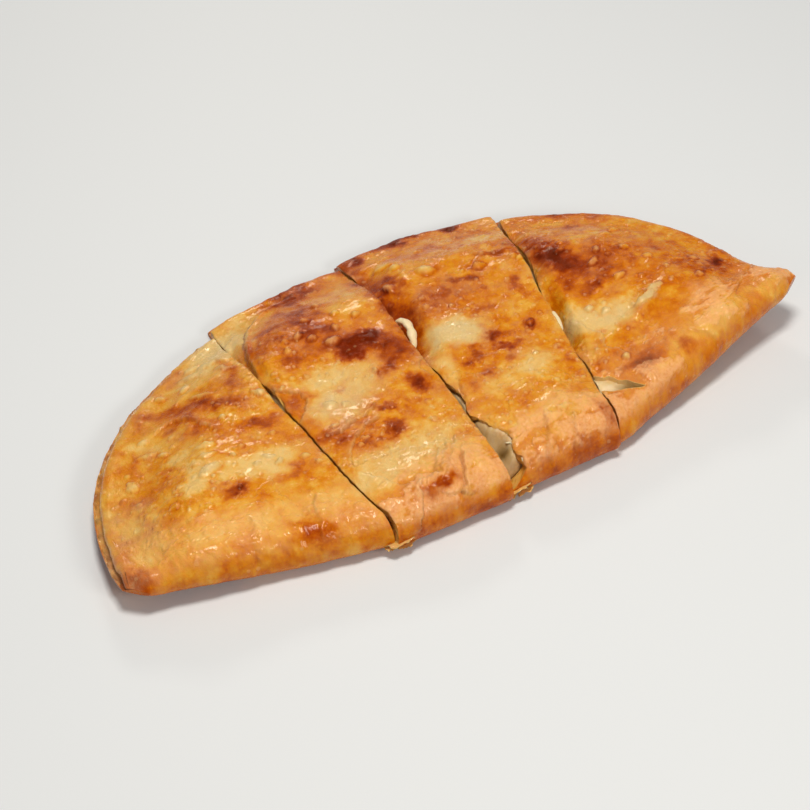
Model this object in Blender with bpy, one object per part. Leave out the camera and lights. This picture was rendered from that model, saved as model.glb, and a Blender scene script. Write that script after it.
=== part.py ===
"""Fried flatbread: a round of dough folded over a soft cheese filling and cut into four slices.

The half-moon lies flat. X runs along the fold, +Y towards the sealed curved edge, +Z up. The origin is
on the floor under the middle of the bread. Each slice is a crust and the filling that runs through it.
"""

import math
from dataclasses import dataclass

import bmesh
import bpy
import numpy as np
from mathutils import Matrix

MM = 0.001                # every size below is in millimetres

# Plan of the half-moon
ARC_X = 21.8              # centre of the sealed edge's curve
ARC_Y = -44.4
ARC_LEFT = 163.0          # reach of the curve to the left, to the right and to the back
ARC_RIGHT = 114.5
ARC_DEPTH = 117.2
ARC_POWER_LEFT = 2.12     # 2 is an ellipse, more is squarer
ARC_POWER_RIGHT = 2.2
NIB_PUSH = 6.5            # the right tip stands out from the curve
NIB_Y = -42.0
NIB_SPREAD = 11.0

# Section
FULL_THICKNESS = 17.0     # over the filling
LIP = 5.0                 # the two sheets pressed together at the sealed edge
RISE = 40.0               # from the lip up to full thickness
ROLL_LEFT = 8.0           # thickness of the rolled fold at the left and the right tip
ROLL_RIGHT = 11.5
ROLL_REACH = 32.0
SHOULDER = 2.4            # the top slopes down this much towards the fold, over this distance
SHOULDER_REACH = 30.0
TIP_ROUND = 7.0           # the tips round off over this length, down to this share of their height
TIP_BLUNT = 0.45
BLEND_POWER = 5.0         # how closely the roll and the filled body blend, more is a sharper valley
NOSE = 9.5                # half-round of the fold, front to back
NOSE_LEVEL = 0.40         # height of the foremost line, as a share of the thickness
CURL_LEFT_FROM = -75.0    # the ends curl up from here outwards
CURL_LEFT = 7.0
CURL_RIGHT_FROM = 50.0
CURL_RIGHT = 13.5
CURL_POWER = 1.4

# Dough walls and the hollow between them
WALL = 2.8                # top and bottom sheet
FOLD_WALL = 5.0
SEAL = 15.0               # solid dough behind the sealed edge
INNER_NOSE = 6.6          # rounding of the hollow behind the fold
SHORTEST_HOLLOW = 46.0    # a line from fold to edge has a hollow only if it is longer than this
SHORTEST_FILLING = 54.0
CLEARANCE = 0.5           # between the dough and the filling, below and at the ends
HEADROOM = 1.6            # air between the filling and the top sheet
PINCHED = 9.0             # the knife presses an edge down no thinner than this
CRUSH_FADE = 16.0         # a pressed stretch starts and ends gently

# Sections: first millimetres in from a cut and from a tip
CUT_STEPS = (1.2, 2.8, 5.0)
TIP_STEPS = (1.5, 4.0)
# Points round a section, from the foremost line over the top to the edge and back below
TOP_NOSE_ANGLES = (18, 36, 54, 72, 90)
TOP_ROWS = 21
BOTTOM_ROWS = 5
BOTTOM_NOSE_ANGLES = (90, 60, 30)
# Sealed edge, top sheet, groove and bottom sheet: inward from the edge, and height from -1 to 1
EDGE_STEPS = ((3.4, 1.0), (1.4, 0.82), (0.9, 0.30), (2.2, 0.05), (0.2, -0.25), (0.3, -0.80), (2.4, -1.0))
# The same for the rounded back of the hollow and of the filling
ROUND_STEPS = ((3.4, 1.0), (1.6, 0.85), (0.6, 0.50), (0.0, 0.15), (0.0, -0.15), (0.6, -0.60), (2.4, -1.0))

CRUST_COLOUR = (0.66, 0.33, 0.085, 1.0)
FILLING_COLOUR = (0.80, 0.74, 0.58, 1.0)


@dataclass
class Slice:
    """One cut slice: corners on the fold, and x of its sides halfway back and at the sealed edge."""

    number: int
    front: tuple                  # left and right end of its straight stretch of fold, x and y
    middle: tuple
    back: tuple
    push: tuple = (0.0, 0.0)      # how far the sealed edge stands out at the left and the right
    tip: str = ""                 # "left" or "right" where the slice ends in a tip of the half-moon
    stations: int = 12            # even steps between the denser sections beside the cuts
    tears: tuple = ()             # top sheet torn back from the left cut: y, half width, depth
    nose_tear: float = 0.0        # the same round the fold
    crush: tuple = ()             # left edge pressed down by the knife: from y, to y, width, depth


SLICES = (
    Slice(
        1, front=((-134.0, -51.2), (-50.3, -71.2)), middle=(None, -55.7), back=(None, -52.7), tip="left",
        stations=22,
    ),
    Slice(
        2, front=((-49.6, -73.3), (-3.4, -74.7)), middle=(-54.9, 1.7), back=(-51.9, 7.6), push=(4.5, -2.5),
        tears=((-66.0, 6.0, 2.2), (5.0, 9.0, 1.4)), nose_tear=3.0, crush=((6.0, 56.0, 5.0, 2.6),),
    ),
    Slice(
        3, front=((-2.6, -72.2), (43.4, -73.2)), middle=(2.6, 56.3), back=(8.4, 74.4), push=(0.5, 1.5),
        stations=11, tears=((-55.0, 15.0, 7.0), (-30.0, 8.0, 2.2)), nose_tear=8.0,
        crush=((-16.0, 68.0, 8.0, 3.6), (-8.0, 30.0, 7.0, 4.2)),
    ),
    Slice(
        4, front=((44.2, -71.5), (134.0, -49.5)), middle=(57.2, None), back=(75.2, None), push=(-2.5, -5.0),
        tip="right", stations=23, tears=((26.0, 20.0, 1.6),), nose_tear=2.0,
        crush=((-44.0, 52.0, 5.5, 2.2), (-34.0, 4.0, 5.5, 5.0)),
    ),
)

# Relief of the top sheet: what it is, x, y, length, width, turn in degrees, height
BUMPS = (
    ("swell over the filling of slice 1", -88.0, -28.0, 70.0, 40.0, 20.0, 1.6),
    ("dip in slice 1", -104.0, -2.0, 40.0, 14.0, 35.0, -1.0),
    ("ridge in slice 1", -84.0, 14.0, 50.0, 10.0, 40.0, 0.9),
    ("back ridge in slice 1", -72.0, 34.0, 44.0, 9.0, 30.0, 0.9),
    ("scorched hump of slice 2", -8.0, 8.0, 26.0, 20.0, -60.0, 1.4),
    ("pale hollow of slice 2", -36.0, -8.0, 30.0, 22.0, 0.0, -0.9),
    ("lifted flap of slice 2", -34.0, 36.0, 34.0, 26.0, 50.0, 1.2),
    ("fold swell of slice 2", -22.0, -58.0, 40.0, 18.0, 0.0, 0.9),
    ("pale dome of slice 3", 22.0, -4.0, 24.0, 18.0, 20.0, 1.2),
    ("back wrinkle of slice 3", 36.0, 38.0, 50.0, 9.0, 8.0, 0.8),
    ("fold swell of slice 3", 27.0, -54.0, 34.0, 22.0, 10.0, 1.3),
    ("scorched hump of slice 4", 68.0, 10.0, 34.0, 26.0, 70.0, 1.2),
    ("bubble ridge of slice 4", 82.0, -34.0, 32.0, 9.0, 30.0, 2.0),
    ("swell below the slit of slice 4", 56.0, -62.0, 24.0, 12.0, 0.0, 1.2),
    ("back swell of slice 4", 100.0, 12.0, 50.0, 26.0, -35.0, 1.0),
    ("tip roll", 124.0, -42.0, 30.0, 10.0, 20.0, 1.0),
)

# The loose sheet of slice 2 ends on an ellipse; behind it the layer below shows
FLAP_X = -20.0
FLAP_Y = 17.0
FLAP_LONG = 34.0
FLAP_DEEP = 43.5
FLAP_STEP = 2.4

# The slit in slice 4, in plan: back and front corner at the cut, and its far end
SLIT = ((42.0, -45.5), (42.5, -52.5), (61.0, -61.5))
SLIT_FLOOR = 11.5
SLIT_TOP = 30.0

# Lumps of cheese squeezed out of a right cut: slice, y, how far out, and half width
CHEESE_LUMPS = ((2, 9.0, 2.2, 1.4), (3, -15.0, 1.45, 1.0))
LUMP_HEIGHT = 14.2
LUMP_RADII = (6.0, 2.4)
NECK_IN = 0.5
NECK_HEIGHT = 12.0
NECK_RADII = (2.2, 4.0, 1.3)


def smooth(value):
    """0 to 1 with flat ends."""
    t = np.clip(value, 0.0, 1.0)
    return t * t * (3.0 - 2.0 * t)


def fold_y(piece, x):
    """The foremost line of the fold, in front of x."""
    (left_x, left_y), (right_x, right_y) = piece.front
    return left_y + (right_y - left_y) * (x - left_x) / (right_x - left_x)


def fold_width(piece):
    return piece.front[1][0] - piece.front[0][0]


def arc_angle(x):
    """Angle on the sealed edge above x, from 0 at the right tip to pi at the left tip."""
    side = math.copysign(1.0, x - ARC_X)
    reach, power = (ARC_RIGHT, ARC_POWER_RIGHT) if side > 0 else (ARC_LEFT, ARC_POWER_LEFT)
    return math.acos(side * min(abs(x - ARC_X) / reach, 1.0) ** (power / 2.0))


def arc_point(angle, push):
    """Point of the sealed edge, pushed out to the back; the right tip stands out to the side."""
    cosine, sine = np.cos(angle), np.sin(angle)
    right = cosine > 0
    power = np.where(right, ARC_POWER_RIGHT, ARC_POWER_LEFT)
    reach = np.where(right, ARC_RIGHT, ARC_LEFT)
    x = reach * np.sign(cosine) * np.abs(cosine) ** (2.0 / power)
    y = ARC_DEPTH * np.abs(sine) ** (2.0 / power)
    nib = NIB_PUSH * np.exp(-(((y + ARC_Y - NIB_Y) / NIB_SPREAD) ** 2)) * right
    return ARC_X + x + nib, ARC_Y + y + push * sine


def side_angles(piece):
    left = math.pi if piece.tip == "left" else arc_angle(piece.back[0])
    right = 0.0 if piece.tip == "right" else arc_angle(piece.back[1])
    return left, right


def plan(piece, across, along):
    """Plan position at shares across the slice and along its line from fold to edge, and the line's length."""
    front_x = piece.front[0][0] + fold_width(piece) * across
    front_y = fold_y(piece, front_x)
    left, right = side_angles(piece)
    push = piece.push[0] + (piece.push[1] - piece.push[0]) * across
    back_x, back_y = arc_point(left + (right - left) * across, push)
    bends = [0.0, 0.0]
    for side in (0, 1):
        if piece.middle[side] is not None:
            bends[side] = piece.middle[side] - (piece.front[side][0] + piece.back[side]) / 2.0
    bend = bends[0] + (bends[1] - bends[0]) * across
    x = front_x + (back_x - front_x) * along + 4.0 * along * (1.0 - along) * bend
    y = front_y + (back_y - front_y) * along
    length = np.hypot(back_x - front_x, back_y - front_y)
    radial = np.hypot(back_x - ARC_X, back_y - ARC_Y)
    lean = ((back_x - front_x) * (back_x - ARC_X) + (back_y - front_y) * (back_y - ARC_Y)) / (length * radial)
    return x, y, length, np.clip(lean, 0.5, 1.0)


def station_shares(piece):
    """Places of the sections across a slice, 0 to 1, denser beside its cuts."""
    width = fold_width(piece)
    left = np.array((0.0,) + (TIP_STEPS if piece.tip == "left" else CUT_STEPS)) / width
    right = 1.0 - np.array((TIP_STEPS if piece.tip == "right" else CUT_STEPS)[::-1] + (0.0,)) / width
    inner = np.linspace(left[-1], right[0], piece.stations + 1)
    return np.concatenate([left[:-1], inner, right[1:]])


def tip_round(piece, across):
    """Share of its height that the section keeps near a tip, which ends blunt and round."""
    if not piece.tip:
        return np.ones_like(across)
    behind = (across if piece.tip == "left" else 1.0 - across) * fold_width(piece)
    short = 1.0 - np.clip(behind / TIP_ROUND, 0.0, 1.0)
    return np.maximum(TIP_BLUNT, np.sqrt(1.0 - short * short))


def bottom(x):
    """Height of the underside: flat, with the ends curling up."""
    left = np.clip((CURL_LEFT_FROM - x) / (CURL_LEFT_FROM + ARC_LEFT - ARC_X), 0.0, None)
    right = np.clip((x - CURL_RIGHT_FROM) / (ARC_X + ARC_RIGHT - CURL_RIGHT_FROM), 0.0, None)
    return CURL_LEFT * left**CURL_POWER + CURL_RIGHT * right**CURL_POWER


def thickness(piece, x, y, inward):
    """Thickness without relief, inward millimetres from the sealed edge."""
    rising = LIP + (FULL_THICKNESS - LIP) * smooth(inward / RISE)
    tip_to_tip = smooth((x + ARC_LEFT - ARC_X) / (ARC_LEFT + ARC_RIGHT))
    roll = ROLL_LEFT + (ROLL_RIGHT - ROLL_LEFT) * tip_to_tip
    behind = y - fold_y(piece, x)
    roll = LIP + (roll - LIP) * (1.0 - smooth(behind / ROLL_REACH))
    full = (rising**BLEND_POWER + roll**BLEND_POWER) ** (1.0 / BLEND_POWER)
    deep = np.clip((full - ROLL_RIGHT) / (FULL_THICKNESS - ROLL_RIGHT), 0.0, 1.0)
    return full - SHOULDER * deep * np.clip(1.0 - behind / SHOULDER_REACH, 0.0, 1.0) ** 2.0


def crushed(piece, x, y, across, full):
    """How far the knife pressed down the top near the left cut, where it is this thick."""
    width = fold_width(piece)
    total = np.zeros_like(x)
    for start, end, reach, depth in piece.crush:
        beside = 1.0 - smooth(across * width / reach)
        within = smooth((y - start) / CRUSH_FADE) * smooth((end - y) / CRUSH_FADE)
        total = total + depth * beside * within
    return np.minimum(total, np.clip(full - PINCHED, 0.0, None))


def relief(piece, x, y, inward):
    """Swells, dips and wrinkles of the top sheet, and the step down beside the flap of slice 2."""
    total = np.zeros_like(x)
    for _, bump_x, bump_y, length, width, turn, height in BUMPS:
        cosine, sine = math.cos(math.radians(turn)), math.sin(math.radians(turn))
        along = ((x - bump_x) * cosine + (y - bump_y) * sine) / (length / 2.0)
        aside = ((y - bump_y) * cosine - (x - bump_x) * sine) / (width / 2.0)
        total = total + height * np.exp(-(along**2 + aside**2))
    if piece.number == 2:
        reach = np.hypot((x - FLAP_X) / FLAP_LONG, (y - FLAP_Y) / FLAP_DEEP)
        beyond = smooth((reach - 0.97) / 0.06) * (x < FLAP_X) * (y > FLAP_Y)
        total = total - FLAP_STEP * beyond * smooth((y - FLAP_Y) / 6.0)
    return total * smooth(inward / 9.0)


def torn(piece, y, height):
    """How far the top sheet is torn back from the left cut, at a height from -1 to 1 in the section."""
    total = np.zeros_like(y)
    for middle, half, depth in piece.tears:
        total = np.maximum(total, depth * np.clip(1.0 - np.abs((y - middle) / half) ** 2.0, 0.0, 1.0))
    behind = y - piece.front[0][1] - NOSE * 0.6
    total = np.maximum(total, piece.nose_tear * (1.0 - smooth(behind / NOSE)))
    return total * smooth((height + 0.35) / 0.9)


def section(length, lean, start, end, nose, edge):
    """Points round a section: places along the line from fold to edge, and heights from -1 to 1."""
    start = np.broadcast_to(start, length.shape)
    stop = length - end / lean
    room = stop - start
    nose = np.minimum(nose, 0.40 * room)
    places, heights = [start], [np.zeros_like(length)]

    def add(place, height):
        places.append(place)
        heights.append(np.full_like(length, height))

    scale = np.minimum(1.0 / lean, 0.30 * room / edge[0][0])
    last = stop - edge[0][0] * scale
    for angle in TOP_NOSE_ANGLES:
        turn = math.radians(angle)
        add(start + nose * (1.0 - math.cos(turn)), math.sin(turn))
    for row in range(1, TOP_ROWS):
        add(start + nose + (last - start - nose) * row / TOP_ROWS, 1.0)
    for inward, height in edge:
        add(stop - inward * scale, height)
    for row in range(1, BOTTOM_ROWS):
        add(last + (start + nose - last) * row / BOTTOM_ROWS, -1.0)
    for angle in BOTTOM_NOSE_ANGLES:
        turn = math.radians(angle)
        add(start + nose * (1.0 - math.cos(turn)), -math.sin(turn))
    return np.array(places), np.array(heights)


def surface(piece, across, places, heights, floor, roof, tear):
    """World points (metres) of section rows on every station, floor above and roof below the outside."""
    _, _, length, lean = plan(piece, across, np.zeros_like(across))
    share = places / length
    first = np.zeros_like(share)
    if tear and not piece.tip == "left":
        _, y, _, _ = plan(piece, np.zeros_like(share), share)
        first = torn(piece, y, heights) / fold_width(piece)
    spread = first + (1.0 - first) * across
    x, y, _, _ = plan(piece, spread, share)
    inward = (length - places) * lean
    low = bottom(x)
    full = thickness(piece, x, y, inward)
    level = low + NOSE_LEVEL * full
    shape = low + full - crushed(piece, x, y, spread, full)
    high = shape - roof if roof else shape + relief(piece, x, y, inward)
    low = low + floor
    level = np.clip(level, low + 0.2, high - 0.2)
    heights = heights * tip_round(piece, across)
    z = level + np.where(heights > 0, (high - level) * heights, (level - low) * heights)
    return np.stack([x, y, z], axis=-1) * MM


def add_rings(mesh, points):
    """Vertices of every station, as a list of closed rings."""
    return [[mesh.verts.new(point) for point in ring] for ring in points.transpose(1, 0, 2)]


def loft(mesh, rings, inside_out=False):
    """Quads between neighbouring rings."""
    for first, second in zip(rings, rings[1:]):
        count = len(first)
        for i in range(count):
            j = (i + 1) % count
            face = [first[i], second[i], second[j], first[j]]
            mesh.faces.new(face if not inside_out else face[::-1])


def close_end(mesh, ring):
    """Triangles between the top and the bottom of an end, from the fold back, so that it follows the cut."""
    upper, lower = ring[1], ring[0]
    above, below = 2, len(ring) - 1
    while above <= below:
        if ring[above].co.y < ring[below].co.y:
            mesh.faces.new([upper, ring[above], lower])
            upper = ring[above]
            above += 1
        else:
            mesh.faces.new([upper, ring[below], lower])
            lower = ring[below]
            below -= 1


def join_ends(mesh, outer, inner):
    """The cut face of the dough, between a ring and one with half as many points."""
    for k in range(len(inner)):
        after = (k + 1) % len(inner)
        first, second, third = outer[2 * k], outer[2 * k + 1], outer[(2 * k + 2) % len(outer)]
        mesh.faces.new([first, second, inner[k]])
        mesh.faces.new([second, third, inner[after], inner[k]])


def new_object(name, mesh, colour, roughness):
    bmesh.ops.recalc_face_normals(mesh, faces=mesh.faces)
    data = bpy.data.meshes.new(name)
    mesh.to_mesh(data)
    mesh.free()
    data.shade_smooth()
    item = bpy.data.objects.new(name, data)
    bpy.context.scene.collection.objects.link(item)
    material = bpy.data.materials.new(name)
    material.use_nodes = True
    shader = material.node_tree.nodes["Principled BSDF"]
    shader.inputs["Base Color"].default_value = colour
    shader.inputs["Roughness"].default_value = roughness
    shader.inputs["Metallic"].default_value = 0.0
    data.materials.append(material)
    return item


def outer_points(piece):
    across = station_shares(piece)
    _, _, length, lean = plan(piece, across, np.zeros_like(across))
    places, heights = section(length, lean, 0.0, 0.0, NOSE, EDGE_STEPS)
    return surface(piece, across, places, heights, 0.0, 0.0, True)


def inner_points(piece, filling):
    """The hollow in the dough, or the filling that lies in it: half as many points round."""
    inset = CLEARANCE if filling else 0.0
    headroom = HEADROOM if filling else 0.0
    across = station_shares(piece)
    _, _, length, lean = plan(piece, across, np.zeros_like(across))
    deep_enough = length > (SHORTEST_FILLING if filling else SHORTEST_HOLLOW)
    across, length, lean = across[deep_enough], length[deep_enough], lean[deep_enough]
    places, heights = section(length, lean, FOLD_WALL + inset, SEAL + inset, INNER_NOSE, ROUND_STEPS)
    return surface(piece, across, places[::2], heights[::2], WALL + inset, WALL + headroom, not filling)


def make_crust(piece):
    mesh = bmesh.new()
    outer = add_rings(mesh, outer_points(piece))
    inner = add_rings(mesh, inner_points(piece, False))
    loft(mesh, outer)
    loft(mesh, inner, inside_out=True)
    for side, name in ((0, "left"), (-1, "right")):
        if piece.tip == name:
            close_end(mesh, outer[side])
            close_end(mesh, inner[side])
        else:
            join_ends(mesh, outer[side], inner[side])
    return new_object(f"slice_{piece.number}_crust", mesh, CRUST_COLOUR, 0.35)


def make_filling(piece):
    mesh = bmesh.new()
    rings = add_rings(mesh, inner_points(piece, True))
    loft(mesh, rings)
    close_end(mesh, rings[0])
    close_end(mesh, rings[-1])
    return new_object(f"slice_{piece.number}_filling", mesh, FILLING_COLOUR, 0.5)


def add_lump(filling, piece, y, out, half_width):
    """A lump of cheese that stands up from the filling in the gap beside the right cut, and its neck."""
    _, front_y, length, _ = plan(piece, np.ones(2), np.zeros(2))
    cut_x, cut_y, _, _ = plan(piece, np.ones(2), (y - front_y) / length + np.array((0.0, 0.05)))
    turn = math.atan2(cut_x[0] - cut_x[1], cut_y[1] - cut_y[0])
    cut_x = cut_x[0]
    shapes = (
        ("lump", cut_x + out, LUMP_HEIGHT, (half_width,) + LUMP_RADII),
        ("neck", cut_x - NECK_IN, NECK_HEIGHT, NECK_RADII),
    )
    for name, x, z, radii in shapes:
        mesh = bmesh.new()
        bmesh.ops.create_icosphere(mesh, subdivisions=2, radius=MM)
        bmesh.ops.scale(mesh, verts=mesh.verts, vec=radii)
        bmesh.ops.rotate(mesh, verts=mesh.verts, matrix=Matrix.Rotation(turn, 3, "Z"))
        bmesh.ops.translate(mesh, verts=mesh.verts, vec=(x * MM, y * MM, z * MM))
        ball = new_object(f"{name}_{piece.number}", mesh, FILLING_COLOUR, 0.5)
        ball.hide_render = True
        ball.display_type = "WIRE"
        boolean = filling.modifiers.new(name, "BOOLEAN")
        boolean.operation = "UNION"
        boolean.object = ball


def cut_slit(crust):
    """The gaping slit in the top sheet of slice 4."""
    mesh = bmesh.new()
    base = [mesh.verts.new((x * MM, y * MM, SLIT_FLOOR * MM)) for x, y in SLIT]
    face = mesh.faces.new(base)
    top = bmesh.ops.extrude_face_region(mesh, geom=[face])
    raised = [item for item in top["geom"] if isinstance(item, bmesh.types.BMVert)]
    bmesh.ops.translate(mesh, verts=raised, vec=(0.0, 0.0, (SLIT_TOP - SLIT_FLOOR) * MM))
    cutter = new_object("slit_cutter", mesh, CRUST_COLOUR, 0.5)
    cutter.hide_render = True
    cutter.display_type = "WIRE"
    boolean = crust.modifiers.new("slit", "BOOLEAN")
    boolean.operation = "DIFFERENCE"
    boolean.object = cutter


def main():
    for item in list(bpy.data.objects):
        bpy.data.objects.remove(item)
    for piece in SLICES:
        crust = make_crust(piece)
        filling = make_filling(piece)
        for number, *place in CHEESE_LUMPS:
            if number == piece.number:
                add_lump(filling, piece, *place)
        if piece.number == 4:
            cut_slit(crust)


main()
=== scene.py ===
"""Visual model of the fried flatbread: four slices of a folded round of flaky dough over soft cheese.

The slices are swept as in the CAD model, much finer, and dressed with blisters, leaves, cracks and torn
edges. How far each place is fried is worked out from named spots and noise, and drives the materials.
"""

import math
from dataclasses import dataclass

import bpy
import numpy as np
from mathutils import Matrix, Vector


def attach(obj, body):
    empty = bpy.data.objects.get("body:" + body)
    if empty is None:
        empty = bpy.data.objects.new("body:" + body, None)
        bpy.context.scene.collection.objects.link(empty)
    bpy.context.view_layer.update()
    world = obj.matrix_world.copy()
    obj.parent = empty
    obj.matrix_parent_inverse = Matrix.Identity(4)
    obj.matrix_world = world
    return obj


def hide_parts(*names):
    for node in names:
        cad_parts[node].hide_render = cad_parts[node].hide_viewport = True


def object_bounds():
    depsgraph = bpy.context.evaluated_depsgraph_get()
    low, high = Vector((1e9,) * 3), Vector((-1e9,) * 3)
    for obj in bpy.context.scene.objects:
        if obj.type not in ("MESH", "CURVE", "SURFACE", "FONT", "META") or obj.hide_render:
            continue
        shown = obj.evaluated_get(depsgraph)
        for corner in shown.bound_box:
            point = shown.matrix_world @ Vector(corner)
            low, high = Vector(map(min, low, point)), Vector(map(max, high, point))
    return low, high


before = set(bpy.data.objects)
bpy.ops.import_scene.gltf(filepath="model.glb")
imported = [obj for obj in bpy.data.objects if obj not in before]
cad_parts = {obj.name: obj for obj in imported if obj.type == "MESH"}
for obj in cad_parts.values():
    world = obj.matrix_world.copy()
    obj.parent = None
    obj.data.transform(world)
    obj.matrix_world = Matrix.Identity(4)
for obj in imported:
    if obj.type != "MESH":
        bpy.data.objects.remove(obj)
cad_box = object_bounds()

MM = 0.001                # every size below is in millimetres

# Plan of the half-moon
ARC_X = 21.8              # centre of the sealed edge's curve
ARC_Y = -44.4
ARC_LEFT = 163.0          # reach of the curve to the left, to the right and to the back
ARC_RIGHT = 114.5
ARC_DEPTH = 117.2
ARC_POWER_LEFT = 2.12     # 2 is an ellipse, more is squarer
ARC_POWER_RIGHT = 2.2
NIB_PUSH = 6.5            # the right tip stands out from the curve
NIB_Y = -42.0
NIB_SPREAD = 11.0
LEAST_LEAN = 0.5          # how obliquely a line from the fold may meet the sealed edge

# Section
FULL_THICKNESS = 17.0     # over the filling
LIP = 5.0                 # the two sheets pressed together at the sealed edge
RISE = 40.0               # from the lip up to full thickness
ROLL_LEFT = 8.0           # thickness of the rolled fold at the left and the right tip
ROLL_RIGHT = 11.5
ROLL_REACH = 32.0
SHOULDER = 2.4            # the top slopes down this much towards the fold, over this distance
SHOULDER_REACH = 30.0
TIP_ROUND = 7.0           # the tips round off over this length, down to this share of their height
TIP_BLUNT = 0.30
BLEND_POWER = 5.0         # how closely the roll and the filled body blend, more is a sharper valley
NOSE = 9.5                # half-round of the fold, front to back
NOSE_SHARE = 0.40         # the most of a short section that its nose takes up
NOSE_LEVEL = 0.40         # height of the foremost line, as a share of the thickness
LEVEL_MARGIN = 0.2
CURL_LEFT_FROM = -75.0    # the ends curl up from here outwards
CURL_LEFT = 7.0
CURL_RIGHT_FROM = 50.0
CURL_RIGHT = 13.5
CURL_POWER = 1.4
TIP_SLOPE = 4.0           # the top of the right tip drops this much towards its end, and less on the fold
TIP_SLOPE_FROM = 128.0
TIP_SLOPE_REACH = 14.0
TIP_SLOPE_ON_FOLD = 0.6
TIP_THINNEST = 2.5

# Dough walls and the hollow between them
WALL = 2.8
FOLD_WALL = 5.0
SEAL = 15.0
INNER_NOSE = 6.6
CLEARANCE = 0.5
HEADROOM = 1.6

# The knife pressed the top down, fading along the cut, and left at least this thickness
CRUSH_FADE = 16.0
PINCHED = 9.0

# The lip of a tear hangs down and is thin, and the filling slumps in front of it and swells behind
TEAR_FADE = 2.0
LIP_REACH = 3.5
LIP_DROP = 0.8
LIP_THINNING = 0.65
SLUMP = 2.6
HEAP = 2.4
HEAP_WIDTH = 3.0

# How the knife wandered sideways: distance, grain, seed, and how far in from the cut it fades
DRIFT = ((0.50, 12.0, 901), (0.26, 4.5, 902), (0.10, 1.6, 903))
DRIFT_FADE = 4.0
CUT_SPACING = 50.0        # so that the cuts wander apart from each other

# Raggedness of a tear: share, grain, seed
TEAR_RAGS = ((0.30, 5.0, 11), (0.20, 1.9, 12), (0.10, 0.9, 13))

# Sealed edge, top sheet, groove and the ledge of the bottom sheet: inward from the edge, height from -1 to 1
EDGE_STEPS = (
    (5.4, 1), (3.2, 0.86), (2.3, 0.42), (3.2, 0.08), (0.5, -0.1), (0.2, -0.45), (0.5, -0.85), (2.4, -1),
)
ROUND_STEPS = (
    (3.4, 1), (1.6, 0.85), (0.6, 0.5), (0, 0.15), (0, -0.15), (0.5, -0.5), (1.3, -0.8), (2.4, -1),
)
EDGE_SHARE = 0.30         # the most of a short section that this profile takes up
EDGE_ROUNDING = 2


@dataclass
class Sweep:
    """How one kind of surface runs round the sections of a slice."""

    kind: str
    step: float                   # across a slice, and the first steps in from a cut
    cut_steps: tuple
    rows: tuple                   # along the fold, the top, the underside and the fold below
    edge: tuple
    edge_split: int
    nose: float
    start: float = 0.0            # in from the fold and from the sealed edge
    end: float = 0.0
    shortest: float = 0.0         # sections shorter than this are left out


OUTSIDE = Sweep("outside", 0.45, (0.12, 0.35, 0.75), (22, 270, 26, 10), EDGE_STEPS, 4, NOSE)
HOLLOW = Sweep("hollow", 3.0, (1.0, 2.0), (22, 270, 26, 10), ROUND_STEPS, 4, INNER_NOSE,
               FOLD_WALL, SEAL, 46.0)
FILLING = Sweep("filling", 1.2, (0.3, 0.7, 1.2), (12, 120, 120, 12), ROUND_STEPS, 2, INNER_NOSE,
                FOLD_WALL + CLEARANCE, SEAL + CLEARANCE, 54.0)
CUT_FACE_RINGS = 5
CUT_FACE_RUNGS = 12


@dataclass
class Slice:
    """One cut slice: corners on the fold, and x of its sides halfway back and at the sealed edge."""

    number: int
    toast: float                  # how far it is fried before any spots, from 0 to 1
    front: tuple
    middle: tuple
    back: tuple
    push: tuple = (0.0, 0.0)      # how far its left and its right side lie further back
    tip: str = ""                 # the side that ends in a tip
    tears: tuple = ()             # top sheet torn back from the left cut: y, half width, depth
    nose_tear: float = 0.0        # and torn back at the corner of the fold
    crush: tuple = ()             # left edge pressed down by the knife: from y, to y, width, depth
    layers: float = 1.0           # how clearly the fold shows its leaves


SLICES = (
    Slice(
        1, 0.27, front=((-134.0, -51.2), (-50.3, -71.2)), middle=(None, -55.7), back=(None, -52.7),
        tip="left", layers=0.3,
    ),
    Slice(
        2, 0.32, front=((-49.6, -73.3), (-3.4, -74.7)), middle=(-54.9, 1.7), back=(-51.9, 7.6),
        push=(4.5, -2.5), tears=((5.0, 9.0, 1.4),), nose_tear=0.8, crush=((6.0, 56.0, 5.0, 2.6),),
    ),
    Slice(
        3, 0.35, front=((-2.6, -72.2), (43.4, -73.2)), middle=(2.6, 56.3), back=(8.4, 74.4),
        push=(0.5, 1.5), tears=((-63.0, 22.0, 6.2), (-30.0, 8.0, 1.8)), nose_tear=6.5,
        crush=((-16.0, 68.0, 8.0, 3.6), (-8.0, 30.0, 7.0, 4.2)),
    ),
    Slice(
        4, 0.37, front=((44.2, -71.5), (134.0, -49.5)), middle=(57.2, None), back=(75.2, None),
        push=(-2.5, -5.0), tip="right", tears=((26.0, 20.0, 0.8),), nose_tear=0.5,
        crush=((-44.0, 52.0, 5.5, 2.2), (-34.0, 4.0, 5.5, 5.0)),
    ),
)

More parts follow.
